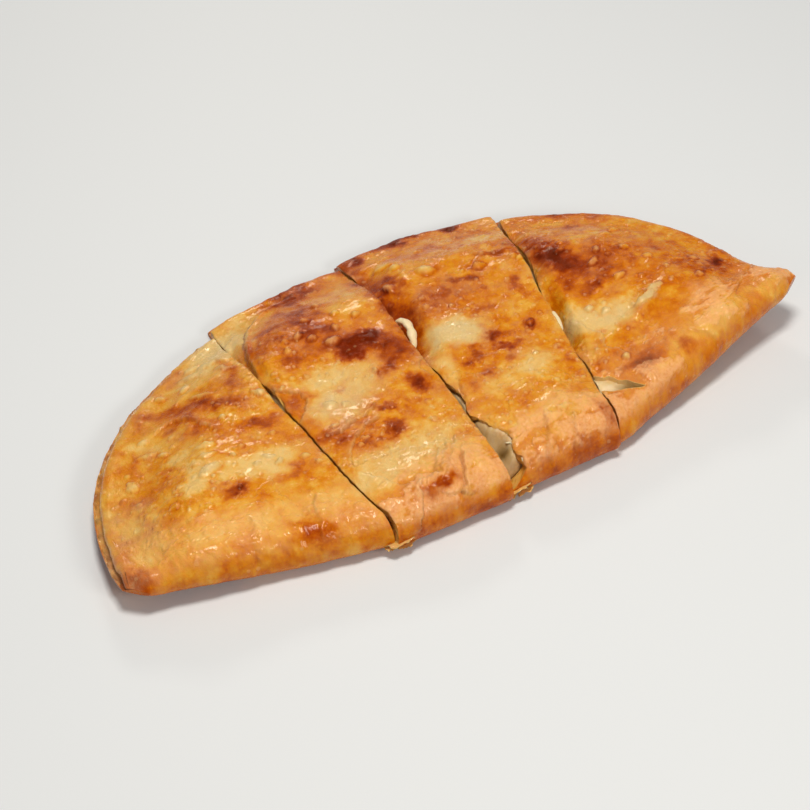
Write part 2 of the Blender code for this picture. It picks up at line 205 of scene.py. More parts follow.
# Relief of the top sheet: what it is, x, y, length, width, turn in degrees, height
BUMPS = (
    ("swell over the filling of slice 1", -88, -28, 70, 40, 20, 1.6),
    ("dip in slice 1", -104, -2, 40, 14, 35, -1),
    ("ridge in slice 1", -84, 14, 50, 10, 40, 0.9),
    ("back ridge in slice 1", -72, 34, 44, 9, 30, 0.9),
    ("scorched hump of slice 2", -8, 8, 26, 20, -60, 1.4),
    ("pale hollow of slice 2", -36, -8, 30, 22, 0, -0.9),
    ("lifted flap of slice 2", -34, 36, 34, 26, 50, 1.2),
    ("fold swell of slice 2", -22, -58, 40, 18, 0, 0.9),
    ("pale dome of slice 3", 22, -4, 24, 18, 20, 1.2),
    ("back wrinkle of slice 3", 36, 38, 50, 9, 8, 0.8),
    ("fold swell of slice 3", 27, -54, 34, 22, 10, 1.3),
    ("scorched hump of slice 4", 68, 10, 34, 26, 70, 1.2),
    ("bubble ridge of slice 4", 86, -28, 24, 7, 22, 2.6),
    ("swell below the slit of slice 4", 56, -62, 24, 12, 0, 1.2),
    ("back swell of slice 4", 100, 12, 50, 26, -35, 1),
    ("sag along the slit", 51.5, -53, 26, 11, -42, -1.3),
)
BUMP_FADE = 9.0           # in from the sealed edge

# The loose sheet of slice 2 ends on an ellipse; behind it the layer below shows
FLAP_X = -20.0
FLAP_Y = 17.0
FLAP_LONG = 34.0
FLAP_DEEP = 43.5
FLAP_STEP = 1.6
FLAP_FADE = 6.0
# Bands along its edge: share of the ellipse, width, and how much browner, milkier, higher and shaded; the
# last is painted shade, a dark band just beyond the edge as the shadow of the loose sheet
FLAP_BANDS = (
    (0.950, 0.030, 0.16, 0, 0, 0),
    (0.982, 0.007, 0, 0.30, 0, 0),
    (0.965, 0.022, 0, 0, 0.60, 0),
    (1.014, 0.012, 0, 0, 0, 1.00),
)

# Frying: what it is, x, y, length, width, turn, then how much browner, milkier and redder
# The undersides of the folds are browner, partly as painted shade on their lower faces; the light folds and
# the light tip are paler, partly as a painted highlight on the crest of the fold.
SPOTS = (
    # Slice 1
    ("back shoulder", -93, 26, 22, 8, -25, 0.22, 0, 0),
    ("ridge, upper half", -88, 16, 14, 6, -20, 0.19, 0, 0),
    ("ridge, lower half", -83, 5, 16, 7, 100, 0.23, 0, 0),
    ("long band to the cut", -73, 14, 30, 7, -38, 0.22, 0, 0),
    ("band beside the middle", -68, -3, 22, 7, -15, 0.2, 0, 0),
    ("patch at the back", -76, 41, 9, 13, 0, 0.23, 0, 0),
    ("stroke beside the back cut", -61, 31, 24, 6, 78, 0.17, 0, 0),
    ("patch on the left", -122, -14, 17, 13, 0, 0.14, 0, 0.15),
    ("dark dot at the front", -90, -31, 8, 6, 0, 0.2, 0, 0),
    ("dark streak near the cut", -68, -32, 14, 6, 5, 0.19, 0, 0),
    ("faint streaks", -101, -29, 10, 4, 0, 0.1, 0, 0),
    ("left rim", -135, -30, 34, 7, 80, 0.13, 0, 0.1),
    ("left corner", -137, -47, 12, 9, 0, 0.24, 0, 0),
    ("underside of the fold 1", -96, -65, 90, 9, -13, 0.15, 0, 0),
    ("red spot on the fold 1", -73, -61, 15, 8, -10, 0.18, 0, 0.8),
    ("brown stroke on the fold", -103, -56, 13, 5, -10, 0.17, 0, 0),
    ("straw field", -96, -10, 46, 15, 85, -0.16, 0.1, 0),
    ("pale blister field", -104, 12, 14, 14, 0, -0.16, 0.15, 0),
    ("milky field by the cut", -74, -24, 26, 12, 5, -0.22, 0.3, 0),
    ("milky field in the middle", -93, -20, 16, 12, 0, -0.12, 0.2, 0),
    ("flaky layers at the back", -66, 42, 32, 18, 12, -0.22, 0.55, 0),
    ("pale back corner", -56, 50, 16, 14, 0, -0.16, 0.3, 0),
    ("matte left side", -128, -24, 24, 44, -20, -0.06, 0.35, 0),
    ("light fold 1", -88, -48, 84, 14, -10, -0.12, 0.05, 0),
    # Slice 2
    ("scorch", -16, 13, 17, 10, 30, 0.5, 0, 0.95),
    ("scorch, left arm", -22, 9, 8, 6, 0, 0.24, 0, 0.6),
    ("scorch, browner side", -6, 4, 26, 15, -70, 0.38, 0, 0.15),
    ("scorch, lower edge", -12, -4, 12, 7, 0, 0.2, 0, 0.1),
    ("brown spot by the cut", -8, -17, 11, 8, 100, 0.34, 0, 0.3),
    ("orange dash", -24, -21, 14, 4, -5, 0.3, 0, 0),
    ("brown patch", -28, -32, 14, 9, 10, 0.38, 0, 0.1),
    ("brown flake at the cut", -46, -26, 14, 9, 0, 0.22, -0.1, 0.1),
    ("leaf at the cut", -50, -1, 18, 9, 100, 0.18, -0.1, 0),
    ("brown stripe of the flap", -24, 40, 34, 13, 80, 0.24, 0, 0.15),
    ("back of the flap", -17, 60, 20, 9, 10, 0.26, 0, 0.2),
    ("left part of the flap", -40, 36, 30, 20, 60, 0.14, 0, 0),
    ("blistered field", -24, 22, 26, 16, 0, 0.2, 0, 0.1),
    ("back rim 2", -15, 67, 44, 6, 0, 0.3, 0, 0.2),
    ("small browns", -42, 17, 14, 6, 20, 0.2, 0, 0.1),
    ("orange dot", -32, -5, 5, 4, 0, 0.26, 0, 0),
    ("bright orange right half", -6, 42, 38, 13, 80, -0.06, -0.2, 0),
    ("pale window", -27, -6, 27, 19, 10, -0.14, 0.62, 0),
    ("window, left half", -40, -12, 19, 20, 0, -0.14, 0.6, 0),
    ("window, upper end", -37, 4, 22, 10, 0, -0.12, 0.4, 0),
    ("pale lower field", -28, -47, 46, 20, 0, -0.16, 0.5, 0),
    ("pale corner", -44, -50, 14, 18, 0, -0.12, 0.15, 0),
    ("red spot on the fold 2", -27, -66, 14, 6, 15, 0.24, 0, 0.7),
    ("underside of the fold 2", -26, -76, 56, 9, -2, 0.13, 0, 0),
    ("lower layer beyond the flap", -47, 52, 22, 30, -30, -0.12, 0.2, 0),
    # Slice 3
    ("back rim 3", 38, 71, 66, 8, -3, 0.28, 0, 0.2),
    ("dark rim, middle", 36, 67, 14, 8, 0, 0.34, 0, 0.4),
    ("dark rim, left", 15, 66, 7, 7, 0, 0.34, 0, 0.6),
    ("dark rim, right", 55, 65, 9, 7, 0, 0.4, 0, 0.3),
    ("pressed slope", 7, 33, 66, 9, 86, 0.26, 0, 0.1),
    ("streak beside the slope", 14, 37, 17, 5, 100, 0.26, 0, 0.3),
    ("grey-brown band", 22, 21, 32, 13, -5, 0.18, 0.25, 0.1),
    ("curved line", 37, 25, 18, 3, -25, 0.28, 0, 0),
    ("ring of brown", 46, 27, 9, 7, 0, 0.18, 0, 0.1),
    ("line at the right cut", 56, 31, 12, 4, -10, 0.22, 0, 0),
    ("spot below the dome", 31, -9, 7, 6, 0, 0.3, 0, 0.2),
    ("scorched dash", 30, -16, 12, 5, -10, 0.32, 0, 0.7),
    ("spot near the right cut", 43, -11, 7, 6, 0, 0.26, 0, 0.3),
    ("orange spot", 15, -17, 8, 5, 0, 0.24, 0, 0),
    ("second orange spot", 17, -26, 7, 5, 0, 0.24, 0, 0),
    ("third orange spot", 29, -23, 5, 4, 0, 0.18, 0, 0),
    ("dark by the gap", 52, 9, 12, 6, 80, 0.26, 0, 0.2),
    ("underside of the fold 3", 22, -74, 54, 9, -1, 0.14, 0, 0),
    ("right corner of the fold", 41, -66, 7, 12, 0, 0.14, 0, 0.2),
    ("bright orange back", 32, 50, 40, 16, 0, 0.03, 0, 0),
    ("pale dome", 19, -1, 22, 14, -20, -0.36, 1.3, 0),
    ("pale rim by the gap", 5, -16, 26, 8, 85, -0.14, 0.3, 0),
    ("pale field", 22, -31, 26, 12, 0, -0.14, 0.25, 0),
    ("milky dots", 36, -30, 16, 14, 0, -0.16, 0.4, 0),
    ("light fold 3", 26, -55, 38, 16, 0, -0.14, 0.1, 0),
    ("pale leaf at the back", 58, 45, 12, 8, 0, -0.16, 0.2, 0),
    # Slice 4
    ("dark brown patch", 73, 9, 19, 13, 95, 0.32, 0, 0.45),
    ("brown above it", 70, 22, 22, 13, 90, 0.2, 0, 0.15),
    ("brown beside the cut", 66, -3, 14, 9, 0, 0.16, 0, 0.2),
    ("brown streak in front", 79, -8, 18, 5, 10, 0.18, 0, 0.1),
    ("mottled field", 84, 4, 17, 14, 0, 0.13, 0, 0.2),
    ("back rim 4", 98, 43, 66, 6, -40, 0.18, 0, 0.2),
    ("dot at the back", 92, 30, 9, 7, 0, 0.2, 0, 0),
    ("orange patch on the fold", 85, -54, 10, 5, 5, 0.2, 0, 0.5),
    ("brown at the slit's end", 69, -52, 13, 6, -20, 0.2, 0, 0.1),
    ("orange field above the slit", 70, -49, 18, 8, 10, 0.18, 0, 0),
    ("dot near the tip", 123, -21, 5, 5, 0, 0.24, 0, 0.2),
    ("broad orange field", 112, -10, 44, 30, -30, 0.06, 0, 0),
    ("underside of the fold 4", 90, -66, 96, 9, 13, 0.15, 0, 0),
    ("pale field 4", 69, -25, 24, 14, -15, -0.24, 0.65, 0),
    ("pale end at the cut", 60, -17, 14, 9, 0, -0.14, 0.4, 0),
    # painted lighter to lift the shade on this slope
    ("pressed edge 4", 59, -9, 40, 6, 98, -0.12, 0.1, 0),
    ("olive flap by the cut", 55, -36, 14, 9, 80, -0.1, 0.15, 0),
    ("bubble", 86, -27, 19, 5, 24, -0.16, 0.8, 0.15),
    ("light fold 4", 100, -50, 66, 8, 12, -0.14, 0.1, 0),
    ("light tip", 131, -47, 14, 8, 20, -0.12, 0.1, 0),
)
SPOT_DEPTH = 1.3          # how strongly the browner spots show
SPOT_WARP = 2.4           # how far noise shifts their outlines, and those of cracks and blisters
LINE_WARP = 0.9
LINE_WIGGLE = 0.45
FOLD_BACK = 12.0          # the smooth skin of the fold reaches this far back from its foremost line
FOLD_BLEND = 14.0

# Single blisters and chips of dough: x, y, length, width, turn in degrees, height, and how milky
BLISTERS = (
    (-75.6, 23.2, 9, 3, -28, 0.7, 0.5), (-76.6, 5.1, 3.2, 2.6, 0, 1, 0.9), (-106.1, 7.3, 8, 3, -25, 0.7, 0.3),
    (-101.5, 3.2, 5, 3, -20, 0.7, 0.4), (-103, 15, 4, 3, 0, 0.8, 0.5), (-88.8, -6, 8, 3.2, -25, 0.8, 0.3),
    (-90.5, -11.5, 7, 3, -20, 0.8, 0.5), (-116.9, -4.2, 6, 5, 60, 0.6, 0.3),
    (-93.6, -18.9, 9, 6, 30, 0.7, 0.5), (-58.7, 8.7, 5, 4, -50, 1.1, 0.9), (-73, 38.2, 7, 2.6, -30, 0.7, 0.6),
    (-64.9, 39.6, 9, 2.8, -20, 0.8, 0.6), (-77, 33.5, 6, 2.4, 30, 0.8, 0.7),
    (-70, 43, 6.5, 2.6, 15, 0.9, 0.7), (-61.5, 33, 7, 2.6, -40, 0.9, 0.8),
    (-58.6, 38.2, 6, 2.6, -35, 0.8, 0.5), (-87, 35, 4, 3.5, 0, 0.6, 0.3), (-78, -24, 4, 2.6, 10, 0.8, 0.7),
    (-72, -22, 4.5, 2.4, -20, 0.8, 0.8), (-70, -25.8, 3.6, 2.2, 0, 0.8, 0.7),
    (-60, -28, 3.6, 2.4, 20, 0.8, 0.4), (-57, -33, 3.4, 2.2, 0, 0.8, 0.4), (-65, -12, 3, 2, 0, 0.7, 0.3),
    (-83, -16, 3.4, 2.2, 0, 0.7, 0.4), (-21.5, 19.1, 6.5, 5.6, 0, 1.3, 0.45),
    (-32.6, 28, 4.6, 3.4, 20, 1, 0.35), (-28, 24, 4.2, 3, 0, 0.9, 0.4), (-25.4, 35.5, 4, 3, 0, 0.9, 0.3),
    (-16, 44, 4.4, 3.2, 40, 0.9, 0.3), (-8, 28, 3.8, 3.2, 0, 0.9, 0.4), (-18, 26, 4, 3.4, 0, 1, 0.35),
    (-40, 22.5, 4, 2.6, 0, 0.8, 0.3), (-14, 33, 3.6, 3, 0, 0.8, 0.3), (-40, -10, 6, 5, 0, 0.9, 0.9),
    (-35.5, -12, 4, 3, 40, 0.8, 0.9), (-17.4, -3, 3, 2.4, 0, 0.8, 0.2), (-45, -21, 3.4, 2.4, 0, 0.8, 0.3),
    (-38, -31, 3, 2.2, 0, 0.8, 0.4), (-41, -33.5, 2.8, 2, 0, 0.7, 0.3), (17.1, 50.9, 7, 3.6, -30, 0.8, 0.25),
    (19.8, 44.9, 5.6, 3.6, -20, 0.9, 0.35), (27, 35.3, 8.5, 5, -25, 1.2, 0.4),
    (11.1, 36.3, 6, 3.2, -60, 0.9, 0.4), (33, -29, 4, 2.4, 20, 0.7, 0.5), (37, -26.5, 3.2, 2.2, 0, 0.7, 0.5),
    (44, -11, 4, 3, 0, 0.7, 0.1), (47, 27, 5, 4, 0, 0.9, 0.1), (29, -56, 4.6, 3.6, 0, 0.5, 0.2),
    (96, 3, 4.6, 5.4, 0, 0.8, 0.2), (87, 8, 5, 3.2, 40, 0.9, 0.3), (82, 2.5, 7, 3, 30, 0.9, 0.3),
    (78, 20, 3.6, 3, 0, 0.8, 0.2), (86, -10.5, 5.4, 3.2, 0, 0.9, 0.25), (102, 17, 5, 3.2, 0, 0.7, 0.1),
    (75, 15, 4, 3, 0, 0.8, 0.2), (66, -17, 4.6, 3, -20, 0.8, 0.6), (71, -22, 4, 3, 0, 0.8, 0.6),
    (63.5, -46, 3.6, 3, 0, 0.9, 0.7), (85, -27.5, 13, 3.6, 24, 1.2, 0.3), (92, -25, 6, 3, 10, 0.9, 0.3),
    (100, -8, 4, 3, 0, 0.7, 0.1), (116, -16, 4, 2.6, -30, 0.7, 0.2), (110, -28, 4.4, 2.6, 20, 0.7, 0.2),
    (61.5, 22, 3.6, 3, 0, 0.8, 0.2),
)
# Blisters all over: cell, largest radius, share of cells with one, height, how milky, seed
DOME_SIZES = (
    (8, 3, 0.2, 0.8, 0.2, 200),
    (3.8, 1.5, 0.42, 0.68, 0.35, 300),
    (2.4, 1, 0.55, 0.6, 0.6, 400),
)

# Cracks and the edges of lifted leaves, in plan: name, points, half width, depth, and rise of its left side
CRACKS = (
    ("leaf at the cut of slice 2", ((-54, 8), (-50, 5), (-47.5, 1), (-47, -4), (-49, -8), (-54, -12)),
     0.25, 0.5, 0.7),
    ("leaf below the window", ((-49, -24), (-44, -25), (-38, -22.5), (-33, -23), (-27, -20)), 0.25, 0.5, 0.8),
    ("leaf of the brown patch", ((-49, -42), (-46, -35), (-41, -30), (-35, -27), (-29, -26)), 0.25, 0.5, 0.7),
    ("leaf above the lower field", ((-52, -40), (-47, -42), (-41, -42), (-35, -44), (-30, -43)),
     0.25, 0.5, 0.4),
    ("corner leaf by the cut", ((3, -5), (0, -7), (-3, -11), (-2, -16)), 0.25, 0.5, -0.6),
    ("crack beside the tear", ((7.5, -22), (5, -27), (2.5, -33)), 0.35, 1, -0.4),
    ("wrinkle of slice 3", ((20, 31), (31, 27), (40, 25), (47, 22)), 0.4, 0.3, 0.3),
    ("leaf at the right cut of slice 3", ((48, 34), (54, 31), (59, 29), (62, 30)), 0.25, 0.4, 0.5),
    ("leaf edge of slice 4", ((60, -19), (61, -26), (63, -32), (60.5, -38), (64, -43)), 0.25, 0.4, -0.8),
    ("back leaf of slice 1", ((-84, 26), (-76, 29), (-68, 28), (-60, 33)), 0.25, 0.2, 0.5),
    ("ridge line of slice 1", ((-96, 17), (-91, 18), (-86, 14.5), (-84, 8), (-82.5, 3)), 0.4, 0.2, 0.8),
    ("tip leaf", ((112, -46), (114, -50), (118, -53)), 0.35, 0.3, 0.4),
    ("tip crease", ((116, -43), (122, -38), (128, -33)), 0.35, 0.3, 0.5),
)
# The same for the front of the fold, where they run down to the underside
FOLD_CREASES = (
    ("leaf on the fold of slice 2", ((-45, -50), (-42, -54.7), (-40, -58), (-35.5, -61.8), (-32, -61)),
     0.25, 0.5, -0.9),
    ("its edge down the fold", ((-32, -60), (-34.5, -64.5), (-37, -68.6), (-41, -74.5)), 0.25, 0.5, -0.9),
    ("deep crease of slice 2", ((-13.7, -56), (-18, -64.5), (-22, -70.7)), 0.45, 1.6, 1),
    ("left wrinkle", ((-21.4, -52.3), (-25.5, -56.8), (-29.8, -61.1)), 0.9, 0.25, 1),
    ("middle wrinkle", ((-17.8, -51), (-22.4, -56.4), (-26.4, -60.9)), 0.9, 0.25, 1),
    ("right wrinkle", ((-14, -50.5), (-19, -56.5), (-23, -61)), 0.9, 0.25, 0.9),
    ("leaf by the red spot", ((-37, -66), (-31, -66.5), (-27, -70), (-20, -71)), 0.25, 0.3, 0.5),
    ("wrinkle of slice 1", ((-68.6, -47), (-71, -55), (-73.4, -61.9)), 0.9, 0.2, 0.5),
    ("left wrinkle of slice 1", ((-93, -47), (-95, -54), (-98, -60)), 0.9, 0.2, 0.5),
    ("wrinkle of slice 3", ((29.7, -60), (26.9, -67.3), (23.5, -74)), 0.7, 0.3, 0.6),
    ("left wrinkle of slice 3", ((20, -58), (16, -66), (13, -73)), 0.7, 0.3, 0.6),
    ("wrinkle of slice 4", ((92, -50), (96, -55), (97, -61)), 0.7, 0.3, 0.6),
)

# Loose leaves of dough: slice, x, y, height above the floor, length, width, turn
LEAVES = (
    (2, -48.6, -70.9, 5.2, 10, 5.6, -14), (2, -45.6, -72.2, 3.2, 7, 3.2, 8),
    (2, -51.4, -70.8, 3.4, 5, 3.6, -30), (3, -0.8, -70.6, 5, 10, 5.6, -12), (3, 3.6, -71.8, 3.2, 7, 3, 6),
    (3, -3, -71.8, 3, 5, 3, 30),
)
LEAF_SIDES = 30
LEAF_RINGS = 7
LEAF_HALF = 0.16          # half its thickness in the middle
LEAF_SLOPE = 0.18

# The slit in slice 4, in plan from the cut to its far end and back, ragged along its upper edge
SLIT = (
    (41, -44.8), (46.5, -47.4), (48.5, -46.9), (51, -49.6), (53.2, -50), (55, -53.6), (57.6, -55.4),
    (59, -58.6), (61.2, -61.6), (58, -60.8), (54.6, -58.9), (50.5, -57.4), (46, -54.6), (41.5, -53),
)
SLIT_FLOOR = 11.5
SLIT_TOP = 30.0
SLIT_TONE = (0.06, 0.90, 0.0, 0.0)

# Where the filling stands up under a tear: slice, x, y, length, width, turn, height
FILLING_SWELLS = (
    (4, 51, -52.4, 24, 11, -42, 3.9),
    (3, 4, -66, 12, 8, 0, 1.4),
    (3, 5, -50, 22, 8, 90, 1),
)
# Shades of the filling: what it is, x, y, length, width, turn, then olive, tan and dark; the dark, and the
# olive in hollows, gaps and the slit, are painted shade
FILLING_SPOTS = (
    ("olive hollow in the tear", 1.6, -59.5, 7, 4.5, 100, 0.9, 0, 0.15),
    ("tan mass at the fold", 2, -67, 12, 7, 0, 0.2, 0.4, 0),
    ("olive shade along the gap", -1.2, -48, 38, 5, 93, 0.35, 0.2, 0),
    ("golden slope under the lip", 4.5, -50, 24, 4, 93, 0.1, 0.5, 0),
    ("olive shade in the slit", 57.5, -58, 9, 6, -30, 0.8, 0.3, 0.2),
    ("shade in the open gap", 58, 12, 50, 9, 100, 0.2, 1, 0.35),
    ("maroon corner", -50, -66, 14, 8, 0, 0, 1, 0.5),
)

# Cheese that curls out of a gap: slice, points of its middle line, half width
CURLS = (
    (2, ((4.6, 18, 13), (4.8, 16.8, 16.6), (6, 14.6, 17), (6, 11, 16.6), (4.8, 7.2, 15.6), (3.2, 3.6, 13)),
     1.6),
    (3, ((56.6, -8, 13), (55.6, -9.8, 16.6), (54.9, -14.5, 17), (54, -19, 14.6)), 0.8),
    (3, ((3.6, -57.6, 14.2), (5.6, -59.4, 15), (4.2, -62.4, 14.6), (6.4, -64.6, 14.2), (4.6, -67.4, 12.8)),
     0.5),
)
CURL_SIDES = 20
CURL_SPLIT = 14           # points from one point of the path to the next
CURL_ROUNDING = 40
CURL_FLATNESS = 0.75

# Shares of toast, milk, red and painted shade where no spots are worked out
HOLLOW_TONE = (0.20, 0.35, 0.0, 0.0)
TIP_TONE = (0.5, 0.1, 0.0, 0.0)
LEAF_TOP_TONE = (0.3, 0.3, 0.0, 0.0)
# the low side of a loose leaf is browner and carries painted shade
LEAF_LOW_TONE = (0.4, 0.1, 0.0, 0.2)
# Shares of olive, tan, dark and pale
CURL_TONE = (0.0, 0.0, 0.0, 1.0)
PEACH_SHEEN_SHARE = 0.06        # more lets the matte peach patches, painted partly as the sheen of the overhead light, cover more of the fold

FAR = 9.0                 # farther than any blister reaches
LARGEST_WORD = 0xFFFFFFFF
# Each octave of noise is turned against the last
TURN = np.array(((0.64, -0.60, 0.48), (0.60, 0.00, -0.80), (0.48, 0.80, 0.36)))


def unit(value):
    """The value kept between 0 and 1."""
    return np.clip(value, 0.0, 1.0)


def smooth(value):
    """0 to 1 with flat ends."""
    t = unit(value)
    return t * t * (3.0 - 2.0 * t)


def bell(value, width=1.0):
    """1 where the value is 0, and next to nothing two widths away."""
    return np.exp(-((value / width) ** 2))


def hashed(cell, seed):
    """A number from 0 to 1 for each lattice cell; every use of noise has a seed of its own."""
    word = cell[..., 0] * 374761393 + cell[..., 1] * 668265263 + cell[..., 2] * 982451653 + seed * 362437
    word = word & LARGEST_WORD
    for shift, factor in ((13, 1274126177), (15, 1103515245)):
        word = ((word ^ (word >> shift)) * factor) & LARGEST_WORD
    return (word ^ (word >> 16)) / LARGEST_WORD


def noise(points, size, seed):
    """Smooth noise from -1 to 1 with grains of this size."""
    place = points / size + 37.7
    cell = np.floor(place).astype(np.int64)
    t = place - cell
    t = t * t * t * (t * (t * 6.0 - 15.0) + 10.0)
    total = 0.0
    for corner in np.ndindex(2, 2, 2):
        weight = np.prod(np.where(corner, t, 1.0 - t), axis=-1)
        total = total + weight * hashed(cell + np.array(corner), seed)
    return 2.0 * total - 1.0


def fractal(points, size, seed, octaves, gain=0.5):
    """Noise over several octaves, each half as coarse as the last."""
    total, weight, place = 0.0, 1.0, points
    for octave in range(octaves):
        total = total + weight * noise(place, size, seed + octave)
        place = place @ TURN.T
        size *= 0.5
        weight *= gain
    return total


def ridges(points, size, seed):
    """Crinkles: 1 along thin winding ridges, 0 between them."""
    return unit(1.0 - 2.2 * np.abs(fractal(points, size, seed, 3, 0.55))) ** 1.5


def flakes(p, size, seed):
    """Thin overlapping leaves: height from 0 to 1 rising to a sharp ragged edge, and where they lie."""
    level = 1.7 * fractal(p, size, seed, 5, 0.55)
    where = smooth((noise(p, size * 1.1, seed + 9) - 0.02) / 0.4)
    return level - np.floor(level), where


def domes(points, cell_size, radius, share, seed):
    """At most one round blister a cell: distance from the nearest, 1 at its foot, and its random number."""
    place = points / cell_size
    cell = np.floor(place).astype(np.int64)
    best = np.full(points.shape[:-1], FAR)
    which = np.zeros(points.shape[:-1])
    for offset in np.ndindex(3, 3, 3):
        near = cell + np.array(offset) - 1
        centre = near + np.stack([hashed(near, seed + k) for k in range(3)], axis=-1)
        size = radius / cell_size * (0.5 + 0.5 * hashed(near, seed + 3))
        away = np.linalg.norm(place - centre, axis=-1) / size
        away = np.where(hashed(near, seed + 4) < share, away, FAR)
        which = np.where(away < best, hashed(near, seed + 5), which)
        best = np.minimum(best, away)
    return best, which


def cap(away):
    """Height of a round blister, 1 at its centre and steep at its foot."""
    return unit(1.0 - away * away) ** 0.75


def foot(away):
    """1 in the crease around a blister."""
    return bell(away - 1.05, 0.30)


def flat(x, y):
    """Points at these plan positions."""
    return np.stack([x, y, np.zeros_like(x)], axis=-1)


def oval(x, y, centre_x, centre_y, length, width, turn):
    """Distance from the centre of an oval, 1 on its outline."""
    cosine, sine = math.cos(math.radians(turn)), math.sin(math.radians(turn))
    along = ((x - centre_x) * cosine + (y - centre_y) * sine) / (length / 2.0)
    aside = ((y - centre_y) * cosine - (x - centre_x) * sine) / (width / 2.0)
    return np.hypot(along, aside)


def swell(x, y, *place):
    """A soft oval spot, 1 at its centre."""
    return bell(oval(x, y, *place))


def line_distance(x, y, points):
    """Distance from a line in plan, and on which side of it a place lies."""
    best = np.full(x.shape, np.inf)
    side = np.zeros_like(x)
    for (ax, ay), (bx, by) in zip(points, points[1:]):
        dx, dy = bx - ax, by - ay
        t = unit(((x - ax) * dx + (y - ay) * dy) / (dx * dx + dy * dy))
        away = np.hypot(x - ax - t * dx, y - ay - t * dy)
        closer = away < best
        best = np.where(closer, away, best)
        side = np.where(closer, np.sign(dx * (y - ay) - dy * (x - ax)), side)
    return best, side


def rounded(line, times):
    """A line of points with its corners rounded and its ends kept."""
    for _ in range(times):
        line[1:-1] = 0.25 * line[:-2] + 0.5 * line[1:-1] + 0.25 * line[2:]
    return line


def refined(points, split):
    """A line with this many steps in place of each."""
    points = np.array(points)
    places = np.linspace(0, len(points) - 1, (len(points) - 1) * split + 1)
    return np.stack([np.interp(places, np.arange(len(points)), column) for column in points.T], axis=-1)


def fold_y(piece, x):
    """The foremost line of the fold, in front of x."""
    (left_x, left_y), (right_x, right_y) = piece.front
    return left_y + (right_y - left_y) * (x - left_x) / (right_x - left_x)


def fold_width(piece):
    """Width of a slice along its fold."""
    return piece.front[1][0] - piece.front[0][0]


def arc_angle(x):
    """Angle on the sealed edge above x, from 0 at the right tip to pi at the left tip."""
    side = math.copysign(1.0, x - ARC_X)
    reach, power = (ARC_RIGHT, ARC_POWER_RIGHT) if side > 0 else (ARC_LEFT, ARC_POWER_LEFT)
    return math.acos(side * min(abs(x - ARC_X) / reach, 1.0) ** (power / 2.0))


def arc_point(angle, push):
    """Point of the sealed edge, pushed out to the back; the right tip stands out to the side."""
    cosine, sine = np.cos(angle), np.sin(angle)
    right = cosine > 0
    power = np.where(right, ARC_POWER_RIGHT, ARC_POWER_LEFT)
    reach = np.where(right, ARC_RIGHT, ARC_LEFT)
    x = reach * np.sign(cosine) * np.abs(cosine) ** (2.0 / power)
    y = ARC_DEPTH * np.abs(sine) ** (2.0 / power)
    nib = NIB_PUSH * bell(y + ARC_Y - NIB_Y, NIB_SPREAD) * right
    return ARC_X + x + nib, ARC_Y + y + push * sine


def side_angles(piece):
    """Angles on the sealed edge where the left and the right side of a slice end."""
    left = math.pi if piece.tip == "left" else arc_angle(piece.back[0])
    right = 0.0 if piece.tip == "right" else arc_angle(piece.back[1])
    return left, right


def side_bend(piece, side):
    """How far a side of a slice bows to the right, halfway back; 0 at a tip."""
    if piece.middle[side] is None:
        return 0.0
    return piece.middle[side] - (piece.front[side][0] + piece.back[side]) / 2.0


def plan(piece, across, along):
    """Plan position at shares across the slice and from fold to edge, and the length and lean of its line."""
    front_x = piece.front[0][0] + fold_width(piece) * across
    front_y = fold_y(piece, front_x)
    left, right = side_angles(piece)
    push = piece.push[0] + (piece.push[1] - piece.push[0]) * across
    back_x, back_y = arc_point(left + (right - left) * across, push)
    left_bend = side_bend(piece, 0)
    bend = left_bend + (side_bend(piece, 1) - left_bend) * across
    x = front_x + (back_x - front_x) * along + 4.0 * along * (1.0 - along) * bend
    y = front_y + (back_y - front_y) * along
    length = np.hypot(back_x - front_x, back_y - front_y)
    radial = np.hypot(back_x - ARC_X, back_y - ARC_Y)
    lean = ((back_x - front_x) * (back_x - ARC_X) + (back_y - front_y) * (back_y - ARC_Y)) / (length * radial)
    return x, y, length, np.clip(lean, LEAST_LEAN, 1.0)


def station_shares(piece, sweep):
    """Places of the sections across a slice, 0 to 1, denser beside its cuts and tips."""
    width = fold_width(piece)
    left = np.array((0.0,) + sweep.cut_steps) / width
    right = 1.0 - np.array(sweep.cut_steps[::-1] + (0.0,)) / width
    inner = np.linspace(left[-1], right[0], int((right[0] - left[-1]) * width / sweep.step) + 1)
    return np.concatenate([left[:-1], inner, right[1:]])


def tip_round(piece, across):
    """Share of its height that the section keeps near a tip, which ends blunt and round."""
    if not piece.tip:
        return np.ones_like(across)
    behind = (across if piece.tip == "left" else 1.0 - across) * fold_width(piece)
    short = 1.0 - unit(behind / TIP_ROUND)
    return np.maximum(TIP_BLUNT, np.sqrt(1.0 - short * short))


def bottom(x):
    """Height of the underside: flat, with the ends curling up."""
    left = np.clip((CURL_LEFT_FROM - x) / (CURL_LEFT_FROM + ARC_LEFT - ARC_X), 0.0, None)
    right = np.clip((x - CURL_RIGHT_FROM) / (ARC_X + ARC_RIGHT - CURL_RIGHT_FROM), 0.0, None)
    return CURL_LEFT * left**CURL_POWER + CURL_RIGHT * right**CURL_POWER


def thickness(piece, x, y, inward):
    """Thickness without relief, inward millimetres from the sealed edge."""
    rising = LIP + (FULL_THICKNESS - LIP) * smooth(inward / RISE)
    tip_to_tip = smooth((x + ARC_LEFT - ARC_X) / (ARC_LEFT + ARC_RIGHT))
    roll = ROLL_LEFT + (ROLL_RIGHT - ROLL_LEFT) * tip_to_tip
    behind = y - fold_y(piece, x)
    roll = LIP + (roll - LIP) * (1.0 - smooth(behind / ROLL_REACH))
    full = (rising**BLEND_POWER + roll**BLEND_POWER) ** (1.0 / BLEND_POWER)
    deep = unit((full - ROLL_RIGHT) / (FULL_THICKNESS - ROLL_RIGHT))
    return full - SHOULDER * deep * unit(1.0 - behind / SHOULDER_REACH) ** 2.0


